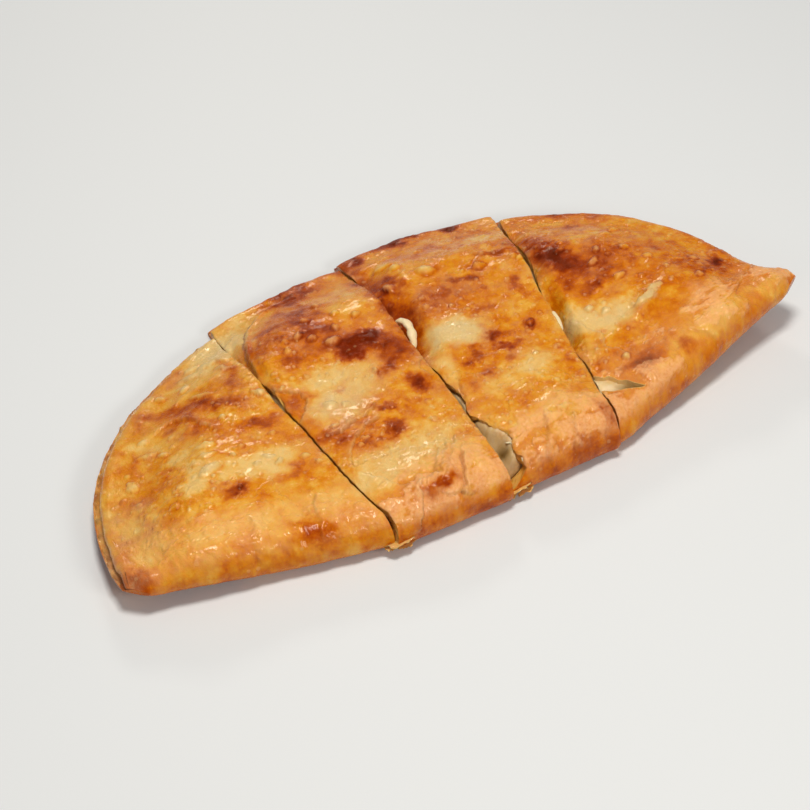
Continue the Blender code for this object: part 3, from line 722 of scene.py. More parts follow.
def crushed(piece, y, from_left, full):
    """How far the knife pressed down the top near the left cut, where it is this thick."""
    total = np.zeros_like(y)
    for start, end, reach, depth in piece.crush:
        beside = 1.0 - smooth(from_left / reach)
        within = smooth((y - start) / CRUSH_FADE) * smooth((end - y) / CRUSH_FADE)
        total = total + depth * beside * within
    return np.minimum(total, np.clip(full - PINCHED, 0.0, None))


def flap_reach(x, y):
    """1 on the ragged edge of the loose sheet of slice 2, more beyond it."""
    ragged = 0.020 * noise(flat(x, y), 6.0, 14) + 0.014 * noise(flat(x, y), 2.2, 15)
    return np.hypot((x - FLAP_X) / FLAP_LONG, (y - FLAP_Y) / FLAP_DEEP) + ragged


def relief(piece, x, y, inward):
    """Swells, dips and wrinkles of the top sheet, and the step down beside the flap of slice 2."""
    total = np.zeros_like(x)
    for _, *place, height in BUMPS:
        total = total + height * swell(x, y, *place)
    if piece.number == 2:
        beyond = smooth((flap_reach(x, y) - 0.985) / 0.022) * (x < FLAP_X) * smooth((y - FLAP_Y) / FLAP_FADE)
        total = total - FLAP_STEP * beyond
    return total * smooth(inward / BUMP_FADE)


def tip_drop(piece, x, y):
    """How far the top of the right tip slopes down."""
    behind = smooth((y - fold_y(piece, x)) / 8.0)
    on_fold = TIP_SLOPE_ON_FOLD
    return TIP_SLOPE * smooth((x - TIP_SLOPE_FROM) / TIP_SLOPE_REACH) * (on_fold + (1.0 - on_fold) * behind)


def torn(piece, x, y, height):
    """How far the top sheet is torn back from the left cut, at a height from -1 to 1 in the section."""
    total = np.zeros_like(y)
    for middle, half, depth in piece.tears:
        total = np.maximum(total, depth * unit(1.0 - np.abs((y - middle) / half) ** 2.0))
    behind = y - piece.front[0][1] - NOSE * 0.6
    total = np.maximum(total, piece.nose_tear * (1.0 - smooth(behind / NOSE)))
    line = flat(np.zeros_like(y), y)
    ragged = 1.0
    for share, size, seed in TEAR_RAGS:
        ragged = ragged + share * noise(line, size, seed)
    return total * ragged * smooth((height + 0.35) / 0.9)


def drift(cut, y):
    """How far the knife wandered sideways along a cut."""
    line = flat(np.full_like(y, CUT_SPACING * cut), y)
    return sum(distance * noise(line, size, seed) for distance, size, seed in DRIFT)


def section(sweep, length, lean):
    """Points round a section: places along the line from fold to edge, and heights from -1 to 1."""
    nose_rows, top_rows, bottom_rows, bottom_nose_rows = sweep.rows
    edge = rounded(refined(sweep.edge, sweep.edge_split), EDGE_ROUNDING)
    start = np.broadcast_to(sweep.start, length.shape)
    stop = length - sweep.end / lean
    room = stop - start
    nose = np.minimum(sweep.nose, NOSE_SHARE * room)
    scale = np.minimum(1.0 / lean, EDGE_SHARE * room / edge[0][0])
    last = stop - edge[0][0] * scale
    steps = [(start, 0.0)]
    for row in range(1, nose_rows + 1):
        turn = math.pi / 2.0 * row / nose_rows
        steps.append((start + nose * (1.0 - math.cos(turn)), math.sin(turn)))
    for row in range(1, top_rows):
        steps.append((start + nose + (last - start - nose) * row / top_rows, 1.0))
    for inward, height in edge:
        steps.append((stop - inward * scale, height))
    for row in range(1, bottom_rows):
        steps.append((last + (start + nose - last) * row / bottom_rows, -1.0))
    for row in range(bottom_nose_rows, 0, -1):
        turn = math.pi / 2.0 * row / bottom_nose_rows
        steps.append((start + nose * (1.0 - math.cos(turn)), -math.sin(turn)))
    places = np.array([place for place, _ in steps])
    heights = np.array([np.full_like(length, height) for _, height in steps])
    return places, heights


def surface(piece, across, places, heights, kind):
    """Points of section rows on every station, and each one's distance from the sealed edge and the cuts.

    The kind is "outside" or "hollow" for the dough and "filling" for the cheese.
    """
    width = fold_width(piece)
    _, _, length, lean = plan(piece, across, np.zeros_like(across))
    share = places / length
    opened = np.zeros_like(share)
    if piece.tip != "left":
        x, y, _, _ = plan(piece, np.zeros_like(share), share)
        opened = torn(piece, x, y, heights)
    first = opened / width if kind != "filling" else 0.0
    spread = first + (1.0 - first) * across
    x, y, _, _ = plan(piece, spread, share)
    inward = (length - places) * lean
    from_left, from_right = spread * width, (1.0 - spread) * width
    low = bottom(x)
    full = thickness(piece, x, y, inward)
    level = low + NOSE_LEVEL * full
    high = low + full - crushed(piece, y, from_left, full) + relief(piece, x, y, inward)
    high = high - np.minimum(tip_drop(piece, x, y), np.maximum(high - low - TIP_THINNEST, 0.0))

    deep = smooth(opened / TEAR_FADE)
    lip = deep * np.exp(-(spread - first) * width / LIP_REACH)
    if kind != "filling":
        high = high - LIP_DROP * lip
    if kind == "hollow":
        high = high - WALL * (1.0 - LIP_THINNING * lip)
        low = low + WALL
    if kind == "filling":
        high = high - WALL - HEADROOM
        low = low + WALL + CLEARANCE
        high = high - SLUMP * deep * (1.0 - smooth(from_left / np.maximum(opened, 0.5)))
        high = high + HEAP * deep * bell(from_left - opened, HEAP_WIDTH)
        for number, *place, height in FILLING_SWELLS:
            if number == piece.number:
                high = high + height * swell(x, y, *place)
    from_cut = np.full_like(x, np.inf)
    if piece.tip != "left":
        x = x + drift(piece.number - 1, y) * np.exp(-from_left / DRIFT_FADE)
        from_cut = np.minimum(from_cut, (spread - first) * width)
    if piece.tip != "right":
        x = x + drift(piece.number, y) * np.exp(-from_right / DRIFT_FADE)
        from_cut = np.minimum(from_cut, from_right)
    level = np.clip(level, low + LEVEL_MARGIN, high - LEVEL_MARGIN)
    heights = heights * tip_round(piece, across)
    z = level + np.where(heights > 0, (high - level) * heights, (level - low) * heights)
    return np.stack([x, y, z], axis=-1), inward, from_cut


def swept(piece, sweep):
    """Sections set side by side: their places across the slice, their heights, and what surface gives."""
    across = station_shares(piece, sweep)
    _, _, length, lean = plan(piece, across, np.zeros_like(across))
    deep = length > sweep.shortest
    across = across[deep]
    places, heights = section(sweep, length[deep], lean[deep])
    return across, heights, *surface(piece, across, places, heights, sweep.kind)


def grid_normals(points):
    """Unit normals of a grid of rings, out of the dough."""
    round_it = np.roll(points, -1, axis=0) - np.roll(points, 1, axis=0)
    over = np.gradient(points, axis=1)
    normal = np.cross(over, round_it)
    return normal / np.maximum(np.linalg.norm(normal, axis=-1, keepdims=True), 1e-9)


class Skin:
    """The outside of a crust: fine relief along the normal, and how each place is fried and coloured."""

    def __init__(self, piece, points, heights, inward, from_cut):
        self.piece = piece
        self.grid = points.shape[:2]
        self.p = p = points.reshape(-1, 3)
        self.level, self.inside, self.from_cut = heights.ravel(), inward.ravel(), from_cut.ravel()
        self.warp = np.stack([fractal(p, 9.0, seed, 5, 0.62) for seed in (71, 81)], axis=-1)
        wiggle = np.stack([noise(p, 2.0, seed) for seed in (76, 86)], axis=-1)
        self.x, self.y = (p[:, :2] + LINE_WARP * self.warp + LINE_WIGGLE * wiggle).T
        self.outside = smooth((self.level + 0.9) / 0.8)
        self.on_top = smooth((self.level - 0.75) / 0.2) * smooth(self.inside / 7.0)
        self.ahead = p[:, 1] - fold_y(piece, p[:, 0])
        self.folded = 1.0 - smooth((self.ahead - FOLD_BACK + 4.0 * self.warp[:, 0]) / FOLD_BLEND)
        self.calm = 1.0 - 0.85 * self.folded
        self.toast = np.full(len(p), piece.toast)
        self.milky, self.red, self.crevice, self.height = np.zeros((4, len(p)))

    def dress(self):
        """The height along the normal, the tone with its painted shade, and the share of peach sheen, a
        painted highlight, at each point of the grid.
        """
        self.fry()
        self.blister()
        self.flake()
        peach = self.wrinkle()
        self.crack()
        if self.piece.number == 2:
            self.lift_flap()
        self.seal()
        self.wear()
        tone = [self.toast, self.milky * self.outside, self.red * self.outside, unit(self.crevice)]
        tone = np.stack(tone, axis=-1).reshape(self.grid + (4,))
        height = (self.height * self.outside).reshape(self.grid)
        return height, tone, (peach * self.outside).reshape(self.grid)

    def fry(self):
        """Brown, milky and red spots, and the mottling between them."""
        spot_x, spot_y = (self.p[:, :2] + SPOT_WARP * self.warp).T
        for _, *place, browner, milkier, redder in SPOTS:
            spot = np.exp(-(oval(spot_x, spot_y, *place) ** 3))
            self.toast += SPOT_DEPTH * browner * spot
            self.milky += milkier * spot
            self.red += redder * spot
        mottled = 0.09 * fractal(self.p, 14.0, 21, 5, 0.6) + 0.11 * fractal(self.p, 4.4, 91, 3, 0.6)
        self.toast += mottled * (0.45 + 0.55 * self.calm)
        self.milky += 0.16 * fractal(self.p, 6.0, 31, 4, 0.6)
        self.toast += 0.03 * self.folded

    def blister(self):
        """Blisters of three sizes where the dough fried openly, and the single ones."""
        p = self.p
        busy = smooth((fractal(p, 22.0, 191, 3) + 0.25) / 0.5) * self.calm
        fine = 0.13 * fractal(p, 4.2, 51, 4) * busy + 0.09 * ridges(p, 6.5, 45) * busy
        self.height += 0.40 * fractal(p, 15.0, 41, 3) + fine
        self.toast -= 0.30 * fine
        for size, radius, share, tall, pale, seed in DOME_SIZES:
            away, kind = domes(p, size, radius, share, seed)
            strength = self.calm * self.on_top * (0.35 + 0.65 * kind) * (0.4 + 0.6 * busy)
            self.height += tall * cap(away) * strength
            self.toast += (0.10 * foot(away) - 0.16 * cap(away) * (kind - 0.2)) * strength
            self.milky += pale * cap(away) * (kind > 0.5) * strength
        for *place, tall, pale in BLISTERS:
            away = oval(self.x, self.y, *place)
            self.height += 1.25 * tall * cap(away) * self.on_top
            self.toast += (0.12 * foot(away) - 0.16 * cap(away)) * self.on_top
            self.milky += pale * cap(away) * self.on_top

    def flake(self):
        """Thin leaves with pale edges and painted shade in a dark line in front of each."""
        tooth, where = flakes(self.p * (0.75, 1.0, 1.0), 12.0, 130)
        where = where * self.on_top * (1.0 - 0.4 * self.folded)
        self.height += 0.26 * tooth * where
        self.milky += 0.26 * smooth((tooth - 0.88) / 0.10) * where
        # painted shade in front of each leaf's edge
        self.crevice += 0.26 * (1.0 - smooth(tooth / 0.07)) * where

    def wrinkle(self):
        """Wrinkles down the fold, and crinkled matte patches on it; returns the share of peach sheen, painted
        partly as a highlight on the fold's crest.
        """
        p, folded, layers = self.p, self.folded, self.piece.layers
        wrinkles = fractal(p * (1.0, 0.24, 0.24), 1.5, 61, 3, 0.6)
        creases = fractal(p * (1.0, 0.34, 0.34), 6.0, 65, 3)
        self.height += (0.10 * wrinkles + 0.26 * creases) * folded
        self.toast -= (0.05 * creases + 0.04 * wrinkles) * folded
        # The peach patches along the crest of the fold are partly painted highlight, the sheen of the
        # overhead light.
        back = self.ahead - 17.0 + 3.0 * self.warp[:, 1]
        band = smooth((self.ahead - 0.5) / 3.5) * (1.0 - smooth(back / 9.0))
        patch = fractal(p * (0.6, 1.0, 1.0), 10.0, 111, 5, 0.7) + PEACH_SHEEN_SHARE
        crinkle = 0.36 * ridges(p * (0.6, 1.0, 1.0), 3.4, 115)
        crinkle += 0.16 * ridges(p * (0.5, 1.0, 1.0), 1.6, 119)
        self.height += (0.24 * layers * smooth(patch / 0.10) + crinkle * smooth((patch + 0.15) / 0.4)) * band
        # painted shade along the raised edges of the patches
        self.crevice += 0.10 * layers * bell(patch, 0.04) * band
        matte = 0.20 + 0.80 * smooth((patch + 0.06) / 0.45)
        return band * (0.40 + layers * (matte - 0.40)) * (1.0 - unit(2.2 * self.red + 1.2 * self.milky))

    def crack(self):
        """Cracks, creases and the edges of lifted leaves, with painted shade in the groove and pale on the
        lifted side.
        """
        edges = fractal(self.p, 1.8, 141, 2)
        broken = smooth((noise(self.p, 6.0, 151) + 0.55) / 0.4)
        on_fold = smooth((self.level - 0.10) / 0.3)
        for lines, there in ((CRACKS, self.on_top), (FOLD_CREASES, on_fold)):
            for _, line, half, depth, rise in lines:
                away, side = line_distance(self.x, self.y, line)
                groove = bell(away, half * (1.0 + 0.5 * edges)) * broken * there
                lifted = unit(side * np.sign(rise)) * abs(rise) * 1.3 * np.exp(-away / 3.5) * there
                self.height += lifted * (1.0 - groove) - 0.6 * depth * groove
                # painted shade in the groove
                self.crevice += 0.48 * min(1.0, 1.6 * depth) * groove
                self.milky += 0.8 * lifted * np.exp(-away / 0.9) * (1.0 - groove)

    def lift_flap(self):
        """The edge of the loose sheet of slice 2, with a painted shadow just beyond it."""
        beyond = flap_reach(self.p[:, 0], self.p[:, 1])
        there = (self.x < FLAP_X + 3.0) * smooth((self.y - FLAP_Y) / FLAP_FADE) * self.on_top
        for share, width, browner, milkier, higher, more_shade in FLAP_BANDS:
            band = bell(beyond - share, width)
            self.toast += browner * band * there
            self.milky += milkier * band * there
            self.height += higher * band * there
            # painted shadow of the loose sheet
            self.crevice += more_shade * band * there

    def seal(self):
        """The sealed edge: two sheets pressed together, uneven, with painted shade in a dark line between
        them and in pits of the lower sheet.
        """
        p = self.p
        rim = (1.0 - smooth(self.inside / 5.0)) * self.outside
        upper = smooth((self.level - 0.15) / 0.15) * rim
        lower = rim - upper
        uneven = 0.55 * noise(p, 3.4, 55) + 0.30 * noise(p, 1.3, 56) + 0.45 * noise(p, 9.0, 54)
        self.height += uneven * rim - 0.65 * rim
        self.height += 0.30 * upper + 0.35 * fractal(p, 1.5, 58, 2) * lower
        self.toast += 0.12 * noise(p, 2.2, 57) * rim + 0.08 * lower
        # painted shade in the pits of the lower sheet
        self.crevice += 0.75 * smooth((fractal(p, 2.4, 171, 3) - 0.10) / 0.3) * lower
        self.milky += (0.35 * upper + 0.55 * lower) * smooth((-45.0 - p[:, 0]) / 20.0)
        # painted shade in the line between the sheets
        self.crevice += 0.75 * bell(self.level - 0.16, 0.13) * rim
        self.height -= 0.30 * (1.0 - smooth((self.ahead - 1.0) / 3.0)) * self.outside

    def wear(self):
        """The plain underside, and the sunken ragged edges of the cuts."""
        below = 1.0 - self.outside
        self.toast = self.toast * self.outside + below * (0.5 + 0.16 * fractal(self.p, 14.0, 101, 3))
        near_cut = np.exp(-self.from_cut / 0.45)
        self.height = self.height * (1.0 - 0.6 * near_cut) - 0.25 * near_cut
        self.height -= 0.35 * np.exp(-self.from_cut / 1.6)
        self.height += 0.30 * noise(self.p, 1.7, 161) * np.exp(-self.from_cut / 0.9)
        self.milky += 0.22 * np.exp(-self.from_cut / 0.8) * self.on_top
        self.milky *= 1.0 - 0.85 * smooth((self.toast - 0.42) / 0.25)


def grid_faces(rows, columns, first, flip=False):
    """Quads of a ring of rows of points numbered row by row from first."""
    r, c = np.meshgrid(np.arange(rows), np.arange(columns - 1), indexing="ij")
    start, after = first + r * columns + c, first + (r + 1) % rows * columns + c
    quads = np.stack([start, start + 1, after + 1, after], axis=-1).reshape(-1, 4)
    return quads[:, ::-1] if flip else quads


def placed(name, data):
    """A new object in the scene."""
    item = bpy.data.objects.new(name, data)
    bpy.context.scene.collection.objects.link(item)
    return item


class Shape:
    """Points, faces and tones of one visual piece, gathered block by block."""

    def __init__(self):
        self.points, self.tones, self.peaches, self.faces = [], [], [], []
        self.count = 0

    def add(self, points, tone, peach=0.0):
        """Append points with their tone and return the number of the first."""
        points = np.asarray(points).reshape(-1, 3)
        self.points.append(points)
        self.tones.append(np.broadcast_to(np.reshape(tone, (-1, 4)), (len(points), 4)))
        self.peaches.append(np.broadcast_to(np.ravel(peach), len(points)))
        self.count += len(points)
        return self.count - len(points)

    def add_grid(self, grid, tone, peach=0.0, flip=False):
        """Append a grid of rings with its faces, and return its rings of point numbers, one a column."""
        rows, columns = grid.shape[:2]
        first = self.add(grid, tone, peach)
        self.faces += grid_faces(rows, columns, first, flip).tolist()
        return first + np.arange(rows * columns).reshape(rows, columns).T

    def strips(self, rings, flip, closed=True):
        """Quads between rings of point numbers."""
        for first, second in zip(rings, rings[1:]):
            quads = np.stack([first, np.roll(first, -1), np.roll(second, -1), second], axis=-1)
            quads = quads if closed else quads[:-1]
            self.faces += (quads[:, ::-1] if flip else quads).tolist()

    def fan(self, ring, centre, flip, closed=True):
        """Triangles from a ring of point numbers to one point."""
        triangles = np.stack([ring, np.roll(ring, -1), np.full(len(ring), centre)], axis=-1)
        triangles = triangles if closed else triangles[:-1]
        self.faces += (triangles[:, ::-1] if flip else triangles).tolist()

    def build(self, name, material, node):
        """The smooth object that stands for a CAD node."""
        data = bpy.data.meshes.new(name)
        data.from_pydata((np.concatenate(self.points) * MM).tolist(), [], self.faces)
        tone = unit(np.concatenate(self.tones)).astype(np.float32)
        data.attributes.new("tone", "FLOAT_COLOR", "POINT").data.foreach_set("color", tone.ravel())
        peach = unit(np.concatenate(self.peaches)).astype(np.float32)
        data.attributes.new("peach", "FLOAT", "POINT").data.foreach_set("value", peach)
        data.shade_smooth()
        data.materials.append(material)
        item = placed(name, data)
        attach(item, "root")
        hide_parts(node)
        return item


def cut_slit(crust):
    """Open the slit in the top sheet of slice 4 and keep the result as the mesh."""
    count = len(SLIT)
    points = [(x * MM, y * MM, z * MM) for z in (SLIT_FLOOR, SLIT_TOP) for x, y in SLIT]
    faces = [tuple(range(count)), tuple(range(count, 2 * count))[::-1]]
    faces += [(k, count + k, count + (k + 1) % count, (k + 1) % count) for k in range(count)]
    data = bpy.data.meshes.new("slit_cutter")
    data.from_pydata(points, [], faces)
    cutter = placed("slit_cutter", data)
    boolean = crust.modifiers.new("slit", "BOOLEAN")
    boolean.operation = "DIFFERENCE"
    boolean.solver = "MANIFOLD"
    boolean.object = cutter
    graph = bpy.context.evaluated_depsgraph_get()
    cut = bpy.data.meshes.new_from_object(crust.evaluated_get(graph))
    crust.modifiers.clear()
    crust.data = cut
    bpy.data.objects.remove(cutter)
    places = np.zeros(3 * len(cut.vertices))
    tone = np.zeros(4 * len(cut.vertices))
    cut.vertices.foreach_get("co", places)
    cut.attributes["tone"].data.foreach_get("color", tone)
    places, tone = places.reshape(-1, 3) / MM, tone.reshape(-1, 4)
    away, _ = line_distance(places[:, 0], places[:, 1], SLIT + SLIT[:1])
    tone[(away < 0.05) & (places[:, 2] > SLIT_FLOOR - 0.1)] = SLIT_TONE
    cut.attributes["tone"].data.foreach_set("color", tone.ravel())


def outward(side):
    """Out of a slice at its left (0) or right (-1) end."""
    return np.array((-1.0 if side == 0 else 1.0, 0.0, 0.0))


def cut_face(shape, start, end, side):
    """Rings of ragged leaves of dough between the outside and the hollow at a cut, with painted shade between
    the leaves.
    """
    rings = []
    for k in range(1, CUT_FACE_RINGS):
        ring = start + (end - start) * k / CUT_FACE_RINGS
        leaf = fractal(ring * (0.3, 0.3, 1.8), 1.3, 500 + k, 2)
        ring = ring + outward(side) * (0.26 * leaf[:, None] - 0.22)
        shade = 0.26 + 0.16 * fractal(ring, 3.0, 520, 3)
        # the last share is painted shade where a leaf lies back
        layers = np.stack([shade, 0.28 + 0.25 * leaf, 0.0 * shade, 0.35 * (leaf < -0.25)], axis=-1)
        rings.append(shape.add(ring, layers) + np.arange(len(ring)))
    return rings


def crust_mesh(piece, material):
    """The dough of a slice: outside, hollow, and ragged flaky faces at its cuts."""
    across, heights, outer, inward, from_cut = swept(piece, OUTSIDE)
    height, tone, peach = Skin(piece, outer, heights, inward, from_cut).dress()
    outer = outer + grid_normals(outer) * (height * tip_round(piece, across))[..., None]
    low, high = [[value / MM for value in corner] for corner in cad_box]
    outer = np.clip(outer, (low[0], low[1], 0.0), high)
    _, _, inner, _, _ = swept(piece, HOLLOW)

    shape = Shape()
    outer_rings = shape.add_grid(outer, tone, peach)
    inner_rings = shape.add_grid(inner, HOLLOW_TONE, flip=True)
    for side, name in ((0, "left"), (-1, "right")):
        if piece.tip == name:
            shape.fan(outer_rings[side], shape.add(outer[:, side].mean(axis=0), TIP_TONE), side == -1)
            shape.fan(inner_rings[side], shape.add(inner[:, side].mean(axis=0), TIP_TONE), side == 0)
        else:
            between = cut_face(shape, outer[:, side], inner[:, side], side)
            shape.strips([outer_rings[side], *between, inner_rings[side]], side == -1)
    item = shape.build(f"crust_{piece.number}", material, f"slice_{piece.number}_crust")
    if piece.number == 4:
        cut_slit(item)


def cheese_tone(p):
    """Olive, tan, dark and a share of pale curd at each place of the filling; the dark and the olive of the
    spots in hollows and gaps are painted shade.
    """
    olive = 0.10 * fractal(p, 5.0, 660, 3)
    tan = 0.10 + 0.15 * fractal(p, 3.0, 670, 3)
    dark = np.zeros(len(p))
    for _, *place, more_olive, more_tan, more_shade in FILLING_SPOTS:
        spot = swell(p[:, 0], p[:, 1], *place)
        olive += more_olive * spot
        tan += more_tan * spot
        dark += more_shade * spot
    return np.stack([olive, tan, dark, 0.5 + 0.5 * fractal(p, 1.5, 680, 2)], axis=-1)


def crumbled_end(shape, upper, lower, side):
    """Rungs of crumbly cheese from the upper to the lower edge of a filling's end."""
    rungs = []
    for k in range(1, CUT_FACE_RUNGS):
        t = k / CUT_FACE_RUNGS
        points = upper + (lower - upper) * t
        crumb = cap(domes(points, 3.2, 1.7, 0.8, 700)[0])
        fine = cap(domes(points, 1.5, 0.8, 0.7, 720)[0])
        bulge = 0.75 * crumb + 0.30 * fine + 0.35 * fractal(points, 2.4, 710, 3) - 0.75
        points = points + outward(side) * (min(4.0 * t, 4.0 - 4.0 * t, 1.0) * bulge)[:, None]
        tone = cheese_tone(points)
        tone[:, 1] += 0.15 - 0.25 * crumb
        # painted shade between the crumbs
        tone[:, 2] += 0.25 * (crumb + fine < 0.1)
        rungs.append(shape.add(points, tone) + np.arange(len(points)))
    return rungs


def filling_mesh(piece, material):
    """The soft cheese of a slice, lumpy and moist; its ends follow the cuts."""
    _, _, grid, _, _ = swept(piece, FILLING)
    p = grid.reshape(-1, 3)
    lumps, _ = domes(p, 5.0, 2.6, 0.6, 600)
    crumbs, _ = domes(p, 2.2, 1.0, 0.6, 620)
    height = 0.55 * cap(lumps) + 0.30 * cap(crumbs) + 0.30 * fractal(p, 4.0, 640, 3) - 0.45
    grid = grid + grid_normals(grid) * np.clip(height, -1.2, 0.35).reshape(grid.shape[:2])[..., None]
    shape = Shape()
    rings = shape.add_grid(grid, cheese_tone(grid.reshape(-1, 3)))
    rows = len(grid)
    half = rows // 2
    upper, lower = np.arange(1, half), rows - np.arange(1, half)
    for side in (0, -1):
        ring, end = rings[side], grid[:, side]
        rungs = [ring[upper], *crumbled_end(shape, end[upper], end[lower], side), ring[lower]]
        shape.strips(rungs, side == -1, closed=False)
        ladder = np.array(rungs)
        shape.fan(ladder[:, 0], ring[0], side == -1, closed=False)
        shape.fan(ladder[:, -1], ring[half], side == 0, closed=False)
    shape.build(f"filling_{piece.number}", material, f"slice_{piece.number}_filling")


def curl_mesh(order, number, path, radius, material):
    """A string of cheese along a path, thinner towards its ends."""
    line = rounded(refined(path, CURL_SPLIT), CURL_ROUNDING)
    ahead = np.gradient(line, axis=0)
    ahead /= np.linalg.norm(ahead, axis=-1, keepdims=True)
    side = np.cross(ahead, (0.3, 0.2, 1.0))
    side /= np.linalg.norm(side, axis=-1, keepdims=True)
    up = np.cross(side, ahead)
    along = np.linspace(-1.0, 1.0, len(line))
    uneven = 1.0 + 0.22 * noise(line, 2.5, 810 + order)
    size = radius * np.sqrt(np.clip(1.06 - along**6, 0.02, 1.0)) * uneven
    turns = np.arange(CURL_SIDES) * math.tau / CURL_SIDES
    ring = np.cos(turns)[:, None, None] * side + CURL_FLATNESS * np.sin(turns)[:, None, None] * up
    grid = line + ring * size[:, None]
    grid = grid + ring * 0.12 * radius * fractal(grid, 1.2, 820 + order, 2)[..., None]
    shape = Shape()
    rings = shape.add_grid(grid, CURL_TONE)
    for end in (0, -1):
        shape.fan(rings[end], shape.add(line[end], CURL_TONE), end == -1)
    shape.build(f"curl_{order}", material, f"slice_{number}_filling")


def leaf_mesh(order, number, x, y, z, length, wide, turn, material):
    """A loose ragged leaf of dough, thin and slightly cupped."""
    turns = np.arange(LEAF_SIDES) * math.tau / LEAF_SIDES
    rings = np.arange(1, LEAF_RINGS + 1)[:, None] / LEAF_RINGS
    outline = flat(np.cos(turns), np.sin(turns))
    ragged = 1.0 + 0.40 * noise(outline * 2.2, 1.0, 830 + order)
    ragged += 0.25 * noise(outline * 5.0, 1.0, 840 + order)
    u = rings * np.cos(turns) * ragged * length / 2.0
    v = rings * np.sin(turns) * ragged * wide / 2.0
    cosine, sine = math.cos(math.radians(turn)), math.sin(math.radians(turn))
    px, py = x + u * cosine - v * sine, y + u * sine + v * cosine
    edge = rings**2 + 0.0 * px
    middle = z + LEAF_SLOPE * u + 0.16 * edge + 0.22 * fractal(flat(px, py), 3.5, 850 + order, 3)
    half = LEAF_HALF * (1.0 - 0.6 * edge)
    tone = np.stack([0.20 + 0.10 * edge, 0.55 + 0.3 * edge, 0.0 * edge, 0.0 * edge], axis=-1)
    shape = Shape()
    top = shape.add(np.stack([px, py, middle + half], axis=-1), tone)
    # its low side is browner and painted darker as shade under the leaf
    low = shape.add(np.stack([px, py, middle - half], axis=-1)[:-1], tone[:-1] + (0.12, -0.2, 0.0, 0.2))
    numbers = np.arange(LEAF_RINGS * LEAF_SIDES).reshape(LEAF_RINGS, LEAF_SIDES)
    top_rings = top + numbers
    low_rings = [*(low + numbers[:-1]), top_rings[-1]]
    shape.fan(top_rings[0], shape.add((x, y, z + 0.3), LEAF_TOP_TONE), False)
    shape.fan(low_rings[0], shape.add((x, y, z - 0.2), LEAF_LOW_TONE), True)
    shape.strips(top_rings, True)
    shape.strips(low_rings, False)
    shape.build(f"leaf_{order}", material, f"slice_{number}_crust")


def srgb(red, green, blue):
    """Linear colour from the usual 0 to 255 numbers."""
    def linear(value):
        value = value / 255.0
        return value / 12.92 if value <= 0.04045 else ((value + 0.055) / 1.055) ** 2.4
    return (linear(red), linear(green), linear(blue), 1.0)


def fill(node, inputs):
    """Set a node's inputs, by name or number, to values, or link them from other nodes."""
    for name, value in inputs.items():
        if isinstance(value, bpy.types.NodeSocket):
            node.id_data.links.new(value, node.inputs[name])
        else:
            node.inputs[name].default_value = value


class Nodes:
    """One material: its shader, object coordinates, the four parts of the tone, and ways to add nodes."""

    def __init__(self, name):
        self.material = bpy.data.materials.new(name)
        self.material.use_nodes = True
        self.tree = self.material.node_tree
        self.shader = self.tree.nodes["Principled BSDF"]
        self.place = self.new("ShaderNodeTexCoord").outputs["Object"]
        tone = self.new("ShaderNodeAttribute", attribute_name="tone").outputs
        self.tone = (*self.parts(tone["Color"]), tone["Alpha"])

    def new(self, kind, inputs=None, **settings):
        """A node of this kind."""
        node = self.tree.nodes.new(kind)
        for name, value in settings.items():
            setattr(node, name, value)
        fill(node, inputs or {})
        return node

    def parts(self, colour):
        """Red, green and blue of a colour."""
        return self.new("ShaderNodeSeparateColor", {0: colour}).outputs

    def math(self, operation, *values, clamp=False):
        """The result of this operation on the values."""
        settings = {"operation": operation, "use_clamp": clamp}
        return self.new("ShaderNodeMath", dict(enumerate(values)), **settings).outputs[0]

    def add(self, first, second, clamp=False):
        """The sum of two values."""
        return self.math("ADD", first, second, clamp=clamp)

    def times(self, first, second, clamp=False):
        """The product of two values."""
        return self.math("MULTIPLY", first, second, clamp=clamp)

    def scaled(self, value, gain, offset=0.0, clamp=False):
        """The value times gain, plus offset."""
        return self.math("MULTIPLY_ADD", value, gain, offset, clamp=clamp)

    def noise(self, scale, detail, roughness, distortion=0.0):
        """Noise over the object."""
        inputs = {"Scale": scale, "Detail": detail, "Roughness": roughness, "Distortion": distortion}
        return self.new("ShaderNodeTexNoise", {"Vector": self.place, **inputs}).outputs["Fac"]

    def ramp(self, value, stops):
        """The colour that a value has on a ramp."""
        node = self.new("ShaderNodeValToRGB", {"Fac": value})
        elements = node.color_ramp.elements
        while len(elements) < len(stops):
            elements.new(0.5)
        for element, (place, colour) in zip(elements, stops):
            element.position = place
            element.color = colour
        return node.outputs["Color"]

    def mix(self, factor, first, second):
        """A blend from the first colour to the second."""
        return self.new("ShaderNodeMix", {0: factor, 6: first, 7: second}, data_type="RGBA").outputs[2]

    def bump(self, height, strength):
        """The normal of a surface with this fine relief."""
        inputs = {"Strength": strength, "Distance": BUMP_DISTANCE, "Height": height}
        return self.new("ShaderNodeBump", inputs).outputs["Normal"]


# Dough from raw to scorched
FRIED = (
    (0.00, srgb(236, 194, 114)),
    (0.16, srgb(229, 168, 58)),
    (0.30, srgb(220, 140, 16)),
    (0.44, srgb(206, 112, 3)),
    (0.58, srgb(178, 80, 1)),
    (0.72, srgb(144, 52, 1)),
    (0.86, srgb(106, 30, 1)),
    (1.00, srgb(72, 16, 1)),
)
MILKY = srgb(216, 194, 150)
RED = srgb(166, 52, 3)
# Painted highlight of the folds
PEACH_SHEEN = srgb(250, 196, 144)
PALE = srgb(248, 214, 156)
# Painted shade for grooves, cracks, seams and the gaps between leaves
PAINTED_SHADE_COLOUR = srgb(124, 54, 4)
OIL = (1.0, 0.72, 0.36, 1.0)
